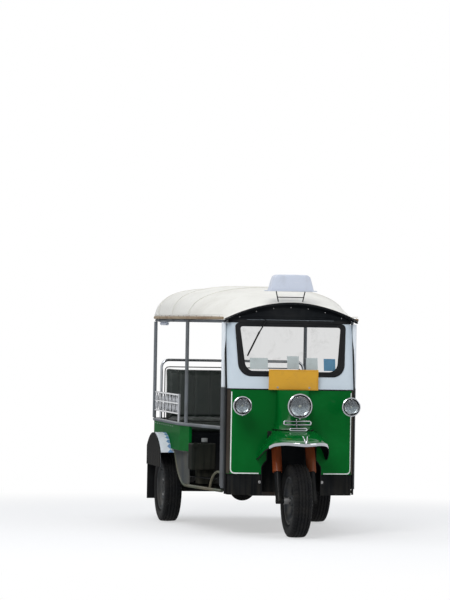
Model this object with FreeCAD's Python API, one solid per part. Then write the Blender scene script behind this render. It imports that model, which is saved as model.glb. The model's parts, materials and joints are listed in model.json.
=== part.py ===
import FreeCAD, Part
import math
import os

# Auto rickshaw with three wheels, one at the front. It faces -Y, +X is its own left side, +Z is up.
# The origin lies on the ground under the middle of its box. All lengths are millimetres.

V = FreeCAD.Vector
X_AXIS, Z_AXIS = V(1, 0, 0), V(0, 0, 1)

# Overall layout
OVERALL_LENGTH = 2970.0
WHEELBASE = 1990.0
REAR_TRACK = 1200.0
SHEET = 6.0                      # sheet metal with its stiffeners
FIT = 0.05                       # radial clearance of a running fit
WELD = 0.8                       # how far a weld knuckle stands proud of its tube
SEAT_GAP = 0.3                   # clearance of curved or soft pieces that rest on each other
SWING_GAP = 12.0                 # clearance round a piece that moves

# Wheels
TYRE_R = 270.0
TYRE_W = 137.0
RIM_R = 168.0
RIM_W = 112.0
RIM_WALL = 7.0
HUB_R = 42.0
HUB_BORE_R = 12.0
AXLE_Z = TYRE_R
FRONT_Y = -OVERALL_LENGTH / 2 + TYRE_R
REAR_Y = FRONT_Y + WHEELBASE

# Steering axis, leaning back, with the spindle a little ahead of it
RAKE = 20.0
FORK_OFFSET = 40.0
FORK_SPREAD = 128.0              # each fork leg from the middle
FORK_COVER_R = 36.0
FORK_SLIDER_R = 27.0
COVER_BOTTOM_Z = 476.0
COVER_TOP_Z = 690.0
STEM_R = 15.0
HEAD_R = 30.0
HEAD_BOTTOM_Z = 764.0
HEAD_TOP_Z = 950.0
BAR_Z = 1060.0
BAR_R = 11.0
GRIP_R = 16.0

# Body plan, taken at the height of the tub rail
FACE_Y = FRONT_Y + 210.0         # front face at its outer edges
FACE_BULGE = 22.0                # the middle of the face stands this far ahead
FACE_HALF = 482.0                # outer half width of the face
FACE_CORNER = 62.0               # radius of its upright corners
WALL = 20.0                      # front wall with its inner lining
POST_R = 16.0
THIN_POST_R = 14.0
A_POST = (497.0, FRONT_Y + 310.0)
MID_POST = (620.0, FRONT_Y + 1155.0)
BEND = (642.0, FRONT_Y + 1300.0)
REAR_POST = (619.0, FRONT_Y + 2550.0)
RAIL_Z = 790.0
RAIL_R = 13.0

# Heights of the front, bottom to top
SKIRT_BOTTOM_Z = 300.0
GREEN_BOTTOM_Z = 455.0
GREEN_TOP_Z = 1084.0
SCREEN_TOP_Z = 1600.0
SCREEN_LEAN = 95.0               # how far the windscreen panel leans back over its height
RUBBER_W = 24.0
RUBBER_PROUD = 6.0
ARCH_HALF = 224.0
ARCH_TOP_Z = 640.0

# Frame
FLOOR_Z = 400.0
RAIL_HALF = 330.0                # outer face of each frame rail
RAIL_W = 45.0
RAIL_H = 70.0
CHANNEL_WALL = 8.0

# Front lamps, grille and plates
NOSE_HALF = 137.0
HEADLAMP_R = 92.0
HEADLAMP = (FRONT_Y - 80.0, 968.0)
SIDE_LAMP_R = 70.0
SIDE_LAMP = (411.0, FRONT_Y + 20.0, 964.0)
PLATE_W = 376.0
PLATE_H = 151.0
PLATE_BOTTOM_Z = 1082.0
SIGN_W = 358.0
SIGN_BOTTOM_Z = 1815.0
SIGN_H = 125.0

# Roof, as stations along Y: half width, hem height, crown height, shoulder radius
HEM_Z = 1598.0
ROOF_SHEET = 8.0
BOW_R = 11.0
ROOF_RAIL_INSET = ROOF_SHEET + BOW_R + 6.0
ROOF_STATIONS = [
    # y, half width, crown z, shoulder radius
    (FRONT_Y + 330.0, 506.0, 1722.0, 60.0),
    (FRONT_Y + 640.0, 552.0, 1800.0, 100.0),
    (MID_POST[1], 622.0, 1850.0, 150.0),
    (FRONT_Y + 1750.0, 636.0, 1862.0, 160.0),
    (FRONT_Y + 2350.0, 636.0, 1842.0, 150.0),
    (FRONT_Y + 2540.0, 628.0, 1790.0, 130.0),
    (FRONT_Y + 2640.0, 610.0, 1690.0, 60.0),
]

# Rear tub and bench
TUB_BOTTOM_Z = 585.0
TUB_TOP_Z = RAIL_Z - RAIL_R
TUB_REAR_Y = FRONT_Y + 2590.0
TUB_FRONT_Y = FRONT_Y + 1080.0   # front end of the right side wall, at the middle post
ENTRY_Y = FRONT_Y + 1560.0       # front end of the left side panel, behind the entry
BENCH_FRONT_Y = FRONT_Y + 1850.0
CUSHION_T = 105.0
BACK_Y = FRONT_Y + 2410.0
BACK_T = 95.0
BACK_TOP_Z = 1224.0
BENCH_HALF = 570.0
HOUSING_HALF = 507.0             # bench box between the rear wheels
FENDER_R = 430.0
FENDER_IN_X = 562.0
FENDER_OUT_X = 724.0
FENDER_AHEAD = 316.0             # from the axle to the fender's front end
FENDER_BEHIND = 292.0            # and to its rear end, where the mud flap hangs
FLANGE_BOTTOM_Z = 440.0
BUMPER_R = 20.0

# Screen and nose
SCREEN_ANGLE = math.degrees(math.atan(SCREEN_LEAN / (SCREEN_TOP_Z - GREEN_TOP_Z)))
# Plan sections of the nose column and fender hood: height, half width at the face, half width ahead, reach
NOSE_SECTIONS = [
    (GREEN_TOP_Z - 4.0, NOSE_HALF, 96.0, 95.0),
    (930.0, NOSE_HALF, 104.0, 130.0),
    (820.0, NOSE_HALF + 14.0, 112.0, 165.0),
    (745.0, NOSE_HALF + 73.0, 150.0, 250.0),
    (560.0, NOSE_HALF + 125.0, 176.0, 300.0),
]
NOSE_WALL = 10.0
LIP_FRONT_Z = 690.0
LIP_BACK_Z = 580.0

# Frame and axle
CROSSMEMBER_YS = [A_POST[1] + 45.0, FRONT_Y + 760.0, FRONT_Y + 1330.0, BENCH_FRONT_Y, REAR_Y + 330.0]
CROSSMEMBER_W = 50.0
WELL_HALF = ARCH_HALF + 14.0
WELL_REAR_Y = A_POST[1] - 14.0
WELL_TOP_Z = 700.0
AXLE_TUBE_R = 34.0
DIFF_R = 105.0
SPRING_X = 400.0
SPRING_HALF_LENGTH = 360.0
SPRING_W = 45.0
STUB_R = HUB_BORE_R - FIT
SPRING_SEAT_Z = AXLE_Z + AXLE_TUBE_R + 6.0
LEAVES = [(1.0, 0), (0.82, 1), (0.62, 2), (0.42, 3)]     # share of the half length, place from the top
LEAF_T = 8.0
SPRING_RISE = 40.0

# Engine and its cover
ENGINE_HALF = 165.0
ENGINE_FRONT_Y = FRONT_Y + 830.0
ENGINE_REAR_Y = FRONT_Y + 1290.0
ENGINE_TOP_Z = 655.0
ENGINE_LOW_Z = 262.0
SHAFT_Z = 284.0
COVER_HALF = 250.0
COVER_TOP_Z = 690.0

# Grab rails and guards
GRAB_R = 13.0
GRAB_GAP = 44.0
POST_TOP_Z = HEM_Z - 2 * BOW_R - SEAT_GAP
GUARD_ZS = [0.0, 76.0, 153.0, 220.0]        # rails of the guard above the tub rail
GUARD_R = 7.0
SCROLL_PITCH = 159.0               # least distance between scroll centres

# Lower sides and fenders
TAIL_BOTTOM_Z = 470.0
TAIL_CORNER = 34.0
RIM_TUBE_R = 12.0
SILL_Z = 335.0
SIDE_PANEL_REAR_Y = FRONT_Y + 1660.0
SIDE_PANEL_SILL_Y = FRONT_Y + 1230.0
SIDE_PANEL_FRONT_Y = FRONT_Y + 1080.0
RIB_PITCH = 36.0
BRACE_R = 9.0
BRACE_RUN = 228.0
BRACE_RISE = 130.0
FENDER_WALL = 6.0
FLAP_BOTTOM_Z = 165.0
FENDER_TOP_Z = AXLE_Z + FENDER_R + 1.0

# Seats
BENCH_REST_Z = FENDER_TOP_Z + SHEET + SEAT_GAP
HOOP_R = 11.0
DRIVER_SEAT = (240.0, FRONT_Y + 800.0, FRONT_Y + 1190.0)

# Visor and header
VISOR_REACH = 70.0
VISOR_T = 10.0
HEADER_T = 6.0

# Grille
GRILLE_Z = 842.0
GRILLE_HALF = 102.0
GRILLE_BAR_R = 8.0
GRILLE_PITCH = 48.0

# Tow eye and side box
TOW_PLATE = 70.0
TOW_DROP = 70.0
TOW_BORE_R = 16.0
SIDE_BOX_DEPTH = 165.0

# Fork and handlebar
LUG_IN = FORK_SPREAD - FORK_SLIDER_R - 5.0
BAR_HALF = 300.0
BAR_SWEEP = 130.0
GRIP_LENGTH = 110.0


def box(x0, x1, y0, y1, z0, z1):
    """A block between two corners."""
    return Part.makeBox(x1 - x0, y1 - y0, z1 - z0, V(x0, y0, z0))


def rod(start, end, radius):
    """A round bar between two points."""
    start, end = V(*start), V(*end)
    along = end - start
    return Part.makeCylinder(radius, along.Length, start, along)


def bend_sector(start, middle, end, radius):
    """Part of a round tube bent along the arc through three points."""
    centre = Part.Arc(start, middle, end).toShape().Curve.Center
    first, halfway = start - centre, middle - centre
    turn = first.cross(halfway).normalize()
    sweep = math.degrees(first.getAngle(halfway)) + math.degrees(halfway.getAngle(end - centre))
    disc = Part.Face(Part.Wire(Part.makeCircle(radius, start, turn.cross(first))))
    return disc.revolve(centre, turn, sweep)


def bent_tube(points, radius, bend):
    """A round tube along straight runs, joined by bends of one radius."""
    points = [V(*p) for p in points]
    pieces = []
    here = points[0]
    for before, corner, after in zip(points, points[1:], points[2:]):
        inward = (before - corner).normalize()
        outward = (after - corner).normalize()
        half_angle = inward.getAngle(outward) / 2
        if half_angle > math.radians(89.8):
            continue
        back_off = bend / math.tan(half_angle)
        first = corner + inward * back_off
        last = corner + outward * back_off
        middle = corner + (inward + outward).normalize() * (bend / math.sin(half_angle) - bend)
        pieces.append(rod(tuple(here), tuple(first), radius))
        pieces.append(bend_sector(first, middle, last, radius))
        here = last
    pieces.append(rod(tuple(here), tuple(points[-1]), radius))
    return pieces[0].multiFuse(pieces[1:])


def prism(outline, direction):
    """A solid from a closed outline of edges, pushed along a direction."""
    return Part.Face(Part.Wire(outline)).extrude(direction)


def polygon_prism(points, direction):
    """A solid from a closed polygon, pushed along a direction."""
    corners = [V(*p) for p in points]
    return Part.Face(Part.makePolygon(corners + [corners[0]])).extrude(direction)


def mirror(shape):
    """The same shape on the other side of the vehicle."""
    return shape.mirror(V(0, 0, 0), X_AXIS)


def both(shape):
    """A shape and its mirror image."""
    return [shape, mirror(shape)]


def fuse(shapes):
    """One solid from shapes that overlap or touch."""
    return shapes[0].multiFuse(shapes[1:]).removeSplitter()


def save(node, shapes):
    """Write the solids of one node."""
    os.makedirs("parts", exist_ok=True)
    solids = []
    for shape in shapes:
        solids.extend(shape.Solids)
    shape = solids[0] if len(solids) == 1 else Part.makeCompound(solids)
    shape.exportStep("parts/" + node + ".step")


def steer_axis_y(z):
    """Where the steering axis is at a height."""
    return FRONT_Y + FORK_OFFSET + (z - AXLE_Z) * math.tan(math.radians(RAKE))


def leg_y(z):
    """Where the middle of a fork leg is at a height."""
    return FRONT_Y + (z - AXLE_Z) * math.tan(math.radians(RAKE))


def body_half(y):
    """Half width of the body at the tub rail, from the windscreen post back to the rear post."""
    stations = [A_POST, MID_POST, BEND, REAR_POST]
    for (x0, y0), (x1, y1) in zip(stations, stations[1:]):
        if y <= y1:
            return x0 + (x1 - x0) * (y - y0) / (y1 - y0)
    return REAR_POST[0]


# Wheels

def tyre():
    """A tyre on the front axle line: crowned tread, bevelled shoulders, bulging side walls, beads on the rim."""
    half = TYRE_W / 2
    bead = RIM_R + 2.0
    inner = RIM_W / 2 - RIM_WALL - SEAT_GAP
    section = [(half - 28.0, TYRE_R), (half - 9.0, TYRE_R - 9.0), (half, TYRE_R - 36.0),
               (inner + 6.0, RIM_R + 26.0), (inner, RIM_R + 12.0), (inner, bead)]
    section += [(-x, r) for x, r in reversed(section)]
    corners = [V(x, FRONT_Y, AXLE_Z + r) for x, r in section]
    face = Part.Face(Part.makePolygon(corners + [corners[0]]))
    return face.revolve(V(0, FRONT_Y, AXLE_Z), X_AXIS, 360)


def rim(outward):
    """A pressed steel rim with a dished disc and a hub; its disc is on the outward side, +1 or -1."""
    half = RIM_W / 2
    well = RIM_R - 22.0
    disc_x = 18.0
    lip = RIM_R + 10.0

    def at(x, r):
        return V(outward * x, FRONT_Y, AXLE_Z + r)

    section = [
        (-half, lip), (-half, RIM_R - 6.0), (-half + 18.0, RIM_R - 8.0), (-12.0, well - RIM_WALL),
        (disc_x - 8.0, well - RIM_WALL), (disc_x - 8.0, 118.0), (disc_x + 12.0, 92.0), (disc_x - 2.0, 62.0),
        (disc_x - 2.0, HUB_R), (-half + 12.0, HUB_R), (-half + 12.0, HUB_BORE_R), (half - 10.0, HUB_BORE_R),
        (half - 10.0, 30.0), (disc_x + 6.0, HUB_R), (disc_x + 6.0, 60.0), (disc_x + 20.0, 92.0),
        (disc_x, 122.0), (disc_x, well - RIM_WALL), (24.0, well - RIM_WALL), (half - 18.0, RIM_R - 8.0),
        (half, RIM_R - 6.0), (half, lip), (half - RIM_WALL, lip), (half - RIM_WALL, RIM_R + 1.7),
        (half - 20.0, RIM_R), (20.0, well), (-10.0, well), (-half + 20.0, RIM_R),
        (-half + RIM_WALL, RIM_R + 1.7), (-half + RIM_WALL, lip),
    ]
    corners = [at(x, r) for x, r in section]
    face = Part.Face(Part.makePolygon(corners + [corners[0]]))
    shape = face.revolve(V(0, FRONT_Y, AXLE_Z), X_AXIS, 360)
    slots = [rod((-half, FRONT_Y, AXLE_Z + 132.0), (half, FRONT_Y, AXLE_Z + 132.0), 9.0)]
    for turn in range(1, 8):
        slot = slots[0].copy()
        slot.rotate(V(0, FRONT_Y, AXLE_Z), X_AXIS, turn * 45.0)
        slots.append(slot)
    return shape.cut(Part.makeCompound(slots))


def wheel(side, centre_x, centre_y):
    """A tyre and its rim, with the dished side turned to one side of the vehicle."""
    move = V(centre_x, centre_y - FRONT_Y, 0)
    return [tyre().translate(move)], [rim(side).translate(move)]


# Front of the body

def plan_wire(grow, z):
    """Outline of the front wall seen from above, grown outward: side, corner, bulged face, corner, side."""
    half = FACE_HALF + grow
    face_y = FACE_Y - grow
    radius = FACE_CORNER + grow
    back_y = A_POST[1] - POST_R
    diagonal = radius * (1 - math.sqrt(0.5))
    corner = [
        V(half, face_y + radius, z), V(half - diagonal, face_y + diagonal, z), V(half - radius, face_y, z),
    ]
    other = [V(-p.x, p.y, p.z) for p in corner]
    return [
        Part.makeLine(V(-half, back_y, z), other[0]),
        Part.Arc(*other).toShape(),
        Part.Arc(other[2], V(0, face_y - FACE_BULGE, z), corner[2]).toShape(),
        Part.Arc(*reversed(corner)).toShape(),
        Part.makeLine(corner[0], V(half, back_y, z)),
        Part.makeLine(V(half, back_y, z), V(-half, back_y, z)),
    ]


def front_shell(outer, inner, z0, z1):
    """Upright wall of the front between two growths and two heights."""
    push = V(0, 0, z1 - z0)
    return prism(plan_wire(outer, z0), push).cut(prism(plan_wire(inner, z0), push))


def leaning_shell(outer, inner):
    """Wall of the front above the green panel, leaning back about their common seam."""
    spare = 80.0
    wall = front_shell(outer, inner, GREEN_TOP_Z - spare, SCREEN_TOP_Z + spare)
    wall.rotate(V(0, FACE_Y - FACE_BULGE, GREEN_TOP_Z), X_AXIS, -SCREEN_ANGLE)
    return wall.common(box(-900, 900, FACE_Y - 300.0, FACE_Y + 600.0, GREEN_TOP_Z, SCREEN_TOP_Z))


def arch_cutter(half, top_z, grow=0.0):
    """The wheel arch as seen from ahead: upright sides and a round top."""
    z0 = SKIRT_BOTTOM_Z - 100.0
    y0 = FACE_Y - 400.0
    shoulder_z = top_z - 130.0
    half, top_z = half + grow, top_z + grow
    outline = [
        Part.makeLine(V(-half, y0, z0), V(-half, y0, shoulder_z)),
        Part.Arc(V(-half, y0, shoulder_z), V(0, y0, top_z), V(half, y0, shoulder_z)).toShape(),
        Part.makeLine(V(half, y0, shoulder_z), V(half, y0, z0)),
        Part.makeLine(V(half, y0, z0), V(-half, y0, z0)),
    ]
    return prism(outline, V(0, 700, 0))


def nose_loft(shrink):
    """The nose column flowing down into the fender hood, as a closed form."""
    wires = []
    root_y = FACE_Y - FACE_BULGE + 12.0
    for z, root, ahead, reach in NOSE_SECTIONS:
        front_y = root_y - reach + shrink
        root, ahead = root - shrink, ahead - shrink
        side_y = front_y + 0.32 * reach
        wires.append(Part.Wire([
            Part.makeLine(V(-root, root_y, z), V(-ahead, side_y, z)),
            Part.Arc(V(-ahead, side_y, z), V(0, front_y, z), V(ahead, side_y, z)).toShape(),
            Part.makeLine(V(ahead, side_y, z), V(root, root_y, z)),
            Part.makeLine(V(root, root_y, z), V(-root, root_y, z)),
        ]))
    return Part.makeLoft(wires, True, False)


def below_lip(raise_by):
    """Everything below the sloping lower edge of the fender hood."""
    front_y, far_y = FACE_Y - 330.0, FACE_Y - 480.0
    return polygon_prism([
        (-400, far_y, LIP_FRONT_Z + raise_by), (-400, front_y, LIP_FRONT_Z + raise_by),
        (-400, FACE_Y + 30.0, LIP_BACK_Z + raise_by), (-400, FACE_Y + 30.0, 200.0), (-400, far_y, 200.0),
    ], V(800, 0, 0))


def ahead_of_face():
    """The space ahead of the front face, where the nose stands."""
    outside = box(-500, 500, FACE_Y - 500.0, FACE_Y + 60.0, 400.0, 1300.0)
    return outside.cut(prism(plan_wire(0.0, 300.0), V(0, 0, 1100.0)))


def nose():
    """Nose column with the hollow fender hood."""
    hollow = nose_loft(NOSE_WALL).cut(box(-400, 400, FACE_Y - 500.0, FACE_Y + 100.0, 1050.0, 1300.0))
    shell = nose_loft(0.0).cut(hollow)
    return shell.cut(below_lip(0.0)).common(ahead_of_face())


def fender_lip():
    """Bright strip round the lower edge of the hood."""
    outer = nose_loft(-5.0).common(below_lip(14.0)).cut(below_lip(-2.0))
    return outer.cut(nose_loft(-SEAT_GAP)).common(ahead_of_face())


def screen_outline(grow):
    """Outline of the windscreen from ahead, wider at the top, with large lower corners."""
    y0 = FACE_Y - 200.0
    low, top = 1188.0 - grow, SCREEN_TOP_Z - 26.0 + grow
    low_half, top_half = 366.0 + grow, 428.0 + grow
    big, small = 100.0 + grow, 40.0 + grow
    slope = (top_half - low_half) / (top - low)

    def side_x(z):
        return low_half + slope * (z - low)

    def corner(sign, z_corner, z_next, radius):
        x = sign * side_x(z_corner)
        x_next = sign * side_x(z_next)
        flat = V(x - sign * radius, y0, z_corner)
        up = V(x_next, y0, z_next)
        middle = V(x + (x_next - x) / 2 - sign * radius * 0.29, y0, z_corner + (z_next - z_corner) * 0.29)
        return flat, middle, up

    lr = corner(1, low, low + big, big)
    ur = corner(1, top, top - small, small)
    ll = corner(-1, low, low + big, big)
    ul = corner(-1, top, top - small, small)
    return [
        Part.makeLine(ll[0], lr[0]), Part.Arc(*lr).toShape(), Part.makeLine(lr[2], ur[2]),
        Part.Arc(ur[2], ur[1], ur[0]).toShape(), Part.makeLine(ur[0], ul[0]),
        Part.Arc(*ul).toShape(), Part.makeLine(ul[2], ll[2]), Part.Arc(ll[2], ll[1], ll[0]).toShape(),
    ]


def screen_cutter(grow):
    """The windscreen's outline pushed right through the front wall."""
    return prism(screen_outline(grow), V(0, 500, 0))


# Frame and running gear

def frame_rails():
    """Two channel rails, open towards the middle, that climb over the rear axle."""
    front, rear = A_POST[1] + 20.0, TUB_REAR_Y - 20.0
    low, top = FLOOR_Z - SHEET - RAIL_H, FLOOR_Z - SHEET
    rail = box(RAIL_HALF - RAIL_W, RAIL_HALF, front, rear, low, top)
    rail = rail.cut(box(RAIL_HALF - RAIL_W, RAIL_HALF - CHANNEL_WALL, front, rear,
                        low + CHANNEL_WALL, top - CHANNEL_WALL))
    return both(rail)


def frame_crossmembers():
    """Cross members that end inside the two channels."""
    low, top = FLOOR_Z - SHEET - RAIL_H + CHANNEL_WALL, FLOOR_Z - SHEET - CHANNEL_WALL
    half = RAIL_HALF - CHANNEL_WALL
    return [box(-half, half, y - CROSSMEMBER_W / 2, y + CROSSMEMBER_W / 2, low, top) for y in CROSSMEMBER_YS]


def floor_pan():
    """Floor from the wheel well to the bench, as wide as the body."""
    inset = POST_R + 8.0
    ys = [WELL_REAR_Y + SHEET, MID_POST[1], BEND[1], BENCH_FRONT_Y]
    right = [(min(body_half(y) - inset, SIDE_X - SHEET), y, FLOOR_Z - SHEET) for y in ys]
    left = [(-x, y, z) for x, y, z in reversed(right)]
    hatch = box(-ENGINE_HALF - 30.0, ENGINE_HALF + 30.0, ENGINE_FRONT_Y + 6.0, ENGINE_REAR_Y - 30.0,
                FLOOR_Z - 50.0, FLOOR_Z + 50.0)
    wheel_notch = box(REAR_TRACK / 2 - TYRE_W / 2 - SWING_GAP, 900.0, REAR_Y - TYRE_R - 3 * SWING_GAP, REAR_Y,
                      FLOOR_Z - 50.0, FLOOR_Z + 50.0)
    tubes = [rim_tube(-1, SEAT_GAP), rim_tube(1, SEAT_GAP)]
    return polygon_prism(right + left, V(0, 0, SHEET)).cut([hatch, wheel_notch, mirror(wheel_notch)] + tubes)


def wheel_well():
    """Splash guard behind and beside the front wheel, open ahead and below."""
    front = FACE_Y + WALL - FACE_BULGE + 14.0
    low = SKIRT_BOTTOM_Z + 20.0
    side = box(WELL_HALF - SHEET, WELL_HALF, front, WELL_REAR_Y, low, WELL_TOP_Z)
    back = box(-WELL_HALF, WELL_HALF, WELL_REAR_Y, WELL_REAR_Y + SHEET, low, WELL_TOP_Z)
    return [side, mirror(side), back]


def steering_neck():
    """Head tube on the steering axis, its gusset plates and the struts down to the frame."""
    low = (0.0, steer_axis_y(HEAD_BOTTOM_Z), HEAD_BOTTOM_Z)
    high = (0.0, steer_axis_y(HEAD_TOP_Z), HEAD_TOP_Z)
    strut_x, strut_r = 95.0, 18.0
    strut_y = WELL_REAR_Y + SHEET + strut_r + 12.0
    shoulder_z = HEAD_BOTTOM_Z + 70.0
    tube = rod(low, high, HEAD_R)
    bar = rod((-strut_x, strut_y, shoulder_z), (strut_x, strut_y, shoulder_z), strut_r * 0.9)
    struts = [rod((sx * strut_x, strut_y, FLOOR_Z), (sx * strut_x, strut_y, shoulder_z + strut_r + 8.0), strut_r)
              for sx in (-1, 1)]
    gussets = [box(sx * 22.0 - 4.0, sx * 22.0 + 4.0, steer_axis_y(shoulder_z), strut_y,
                   shoulder_z - 26.0, shoulder_z + 26.0) for sx in (-1, 1)]
    direction = V(*high) - V(*low)
    bore = Part.makeCylinder(STEM_R + FIT, direction.Length + 100.0,
                             V(*low) - V(direction).normalize() * 50.0, direction)
    return fuse([tube, bar] + gussets + struts).cut(bore)


def rear_axle():
    """Live rear axle with the drive shaft: tube, differential, spring pads and the stubs that carry the hubs."""
    end = REAR_TRACK / 2 - RIM_W / 2 - 6.0
    tube = rod((-end, REAR_Y, AXLE_Z), (end, REAR_Y, AXLE_Z), AXLE_TUBE_R)
    ball = Part.makeSphere(DIFF_R, V(0, REAR_Y, AXLE_Z))
    ball = ball.common(box(-80, 80, REAR_Y - 200, REAR_Y + 200, 100, 400))
    nose_piece = rod((0, REAR_Y - DIFF_R - 55.0, AXLE_Z + 10.0), (0, REAR_Y, AXLE_Z + 10.0), 46.0)
    flanges = [rod((s * (end - 14.0), REAR_Y, AXLE_Z), (s * end, REAR_Y, AXLE_Z), 62.0) for s in (-1, 1)]
    stubs = [rod((s * (end - 1.0), REAR_Y, AXLE_Z), (s * (REAR_TRACK / 2 + RIM_W / 2 - 12.0), REAR_Y, AXLE_Z), STUB_R)
             for s in (-1, 1)]
    pads = [box(s * SPRING_X - SPRING_W / 2, s * SPRING_X + SPRING_W / 2, REAR_Y - 45.0, REAR_Y + 45.0,
                AXLE_Z + AXLE_TUBE_R - 8.0, SPRING_SEAT_Z) for s in (-1, 1)]
    return fuse([tube, ball, nose_piece, prop_shaft()] + flanges + stubs + pads)


def leaf_springs():
    """Leaf springs, curved up to eyes at the hangers under the body."""
    top = SPRING_SEAT_Z + LEAF_T * len(LEAVES)
    springs = []
    for side in (-1, 1):
        x0 = side * SPRING_X - SPRING_W / 2
        leaves = []
        for share, place in LEAVES:
            reach = SPRING_HALF_LENGTH * share
            rise = SPRING_RISE * share ** 2
            z = top - LEAF_T * (place + 1)
            outline = [
                Part.Arc(V(x0, REAR_Y - reach, z + rise), V(x0, REAR_Y, z), V(x0, REAR_Y + reach, z + rise)).toShape(),
                Part.makeLine(V(x0, REAR_Y + reach, z + rise), V(x0, REAR_Y + reach, z + rise + LEAF_T)),
                Part.Arc(V(x0, REAR_Y + reach, z + rise + LEAF_T), V(x0, REAR_Y, z + LEAF_T),
                         V(x0, REAR_Y - reach, z + rise + LEAF_T)).toShape(),
                Part.makeLine(V(x0, REAR_Y - reach, z + rise + LEAF_T), V(x0, REAR_Y - reach, z + rise)),
            ]
            leaves.append(prism(outline, V(SPRING_W, 0, 0)))
        eye_z = top - LEAF_T / 2 + SPRING_RISE
        for end in (-1, 1):
            eye_y = REAR_Y + end * (SPRING_HALF_LENGTH + 6.0)
            eye = rod((x0, eye_y, eye_z), (x0 + SPRING_W, eye_y, eye_z), 15.0)
            hanger = box(x0 + 6.0, x0 + SPRING_W - 6.0, eye_y - 14.0, eye_y + 14.0, eye_z, FLOOR_Z + 12.0)
            arm = box(min(x0 + 6.0, side * (RAIL_HALF)), max(x0 + SPRING_W - 6.0, side * RAIL_HALF),
                      eye_y - 14.0, eye_y + 14.0, FLOOR_Z - 18.0, FLOOR_Z - 6.0)
            leaves += [eye, hanger.common(box(-700, 700, -2000, 2000, 0, FLOOR_Z - 6.0)), arm]
        springs.append(fuse(leaves))
    return springs


def engine_block():
    """The engine under the driver's seat, as one plain block."""
    return box(-ENGINE_HALF, ENGINE_HALF, ENGINE_FRONT_Y + 20.0, ENGINE_REAR_Y - 60.0, ENGINE_LOW_Z, ENGINE_TOP_Z)


def engine_cover():
    """Open-bottomed steel box over the engine, which the driver's seat stands on."""
    outer = box(-COVER_HALF, COVER_HALF, ENGINE_FRONT_Y - 10.0, ENGINE_REAR_Y, FLOOR_Z, COVER_TOP_Z)
    outer = outer.makeFillet(24.0, [e for e in outer.Edges if abs(e.tangentAt(e.FirstParameter).z) > 0.9])
    inner = box(-COVER_HALF + SHEET, COVER_HALF - SHEET, ENGINE_FRONT_Y - 10.0 + SHEET, ENGINE_REAR_Y - SHEET,
                FLOOR_Z - 1.0, COVER_TOP_Z - SHEET)
    return outer.cut(inner)


def prop_shaft():
    """Drive shaft from the engine to the differential."""
    start_y = ENGINE_REAR_Y - 60.0
    end_y = REAR_Y - DIFF_R - 55.0
    z0, z1 = SHAFT_Z, AXLE_Z + 10.0
    return fuse([rod((0, start_y, z0), (0, start_y + 60.0, z0), 38.0),
                 rod((0, start_y + 30.0, z0), (0, end_y - 20.0, z1), 24.0),
                 rod((0, end_y - 34.0, z1), (0, end_y, z1), 40.0)])


def exhaust():
    """Exhaust pipe and silencer along the left of the middle."""
    x, z = 225.0, 272.0
    pipe = bent_tube([(ENGINE_HALF, ENGINE_REAR_Y - 130.0, z), (x, ENGINE_REAR_Y - 130.0, z),
                      (x, REAR_Y - 300.0, z)], 20.0, 30.0)
    silencer = rod((x, REAR_Y - 560.0, z), (x, REAR_Y - 180.0, z), 52.0)
    return [fuse([pipe, silencer])]


# Posts, rails and guards


def windscreen_posts():
    """Upright posts beside the windscreen, each with a grab rail close behind it, bent in at both ends."""
    x, y = A_POST
    foot_z = FLOOR_Z - SHEET - RAIL_H + 20.0
    post = rod((x - 2.0, y, foot_z), (x + 2.0, y + 26.0, POST_TOP_Z), POST_R)
    out_y = y + GRAB_GAP
    rail = bent_tube([(x + 1.0, y + 2.0, RAIL_Z + 300.0), (x + 1.0, out_y, RAIL_Z + 300.0),
                      (x, out_y, FLOOR_Z - 40.0), (x - 1.0, y + 2.0, FLOOR_Z - 40.0)], GRAB_R, 14.0)
    return both(fuse([post, rail]))


def roof_posts():
    """Middle and rear posts, from the tub rail to the roof rail, and the left entry post down to the floor."""
    posts = []
    for x, y in (MID_POST, REAR_POST):
        posts += both(rod((x, y, RAIL_Z + RAIL_R + SEAT_GAP), (x, y, POST_TOP_Z), THIN_POST_R))
    x, y = MID_POST
    posts[0] = rod((SIDE_X - SHEET - THIN_POST_R - 12.0, y, FLOOR_Z + 0.8), (x, y, POST_TOP_Z), THIN_POST_R)
    return posts


def tub_rail():
    """Round rail on top of the tub: closed along the right side up to the windscreen post, and open at the
    left entry."""
    rear_x, rear_y = REAR_POST
    right_front = (-(A_POST[0] + 1.0), A_POST[1] + GRAB_GAP + GRAB_R + 2.0, RAIL_Z)
    left_end = (body_half(ENTRY_Y), ENTRY_Y, RAIL_Z)
    rear = TUB_REAR_Y - 20.0
    return bent_tube([right_front, (-BEND[0], BEND[1], RAIL_Z), (-rear_x, rear_y, RAIL_Z), (-rear_x + 50.0, rear, RAIL_Z),
                      (rear_x - 50.0, rear, RAIL_Z), (rear_x, rear_y, RAIL_Z), left_end], RAIL_R, 16.0)


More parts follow.
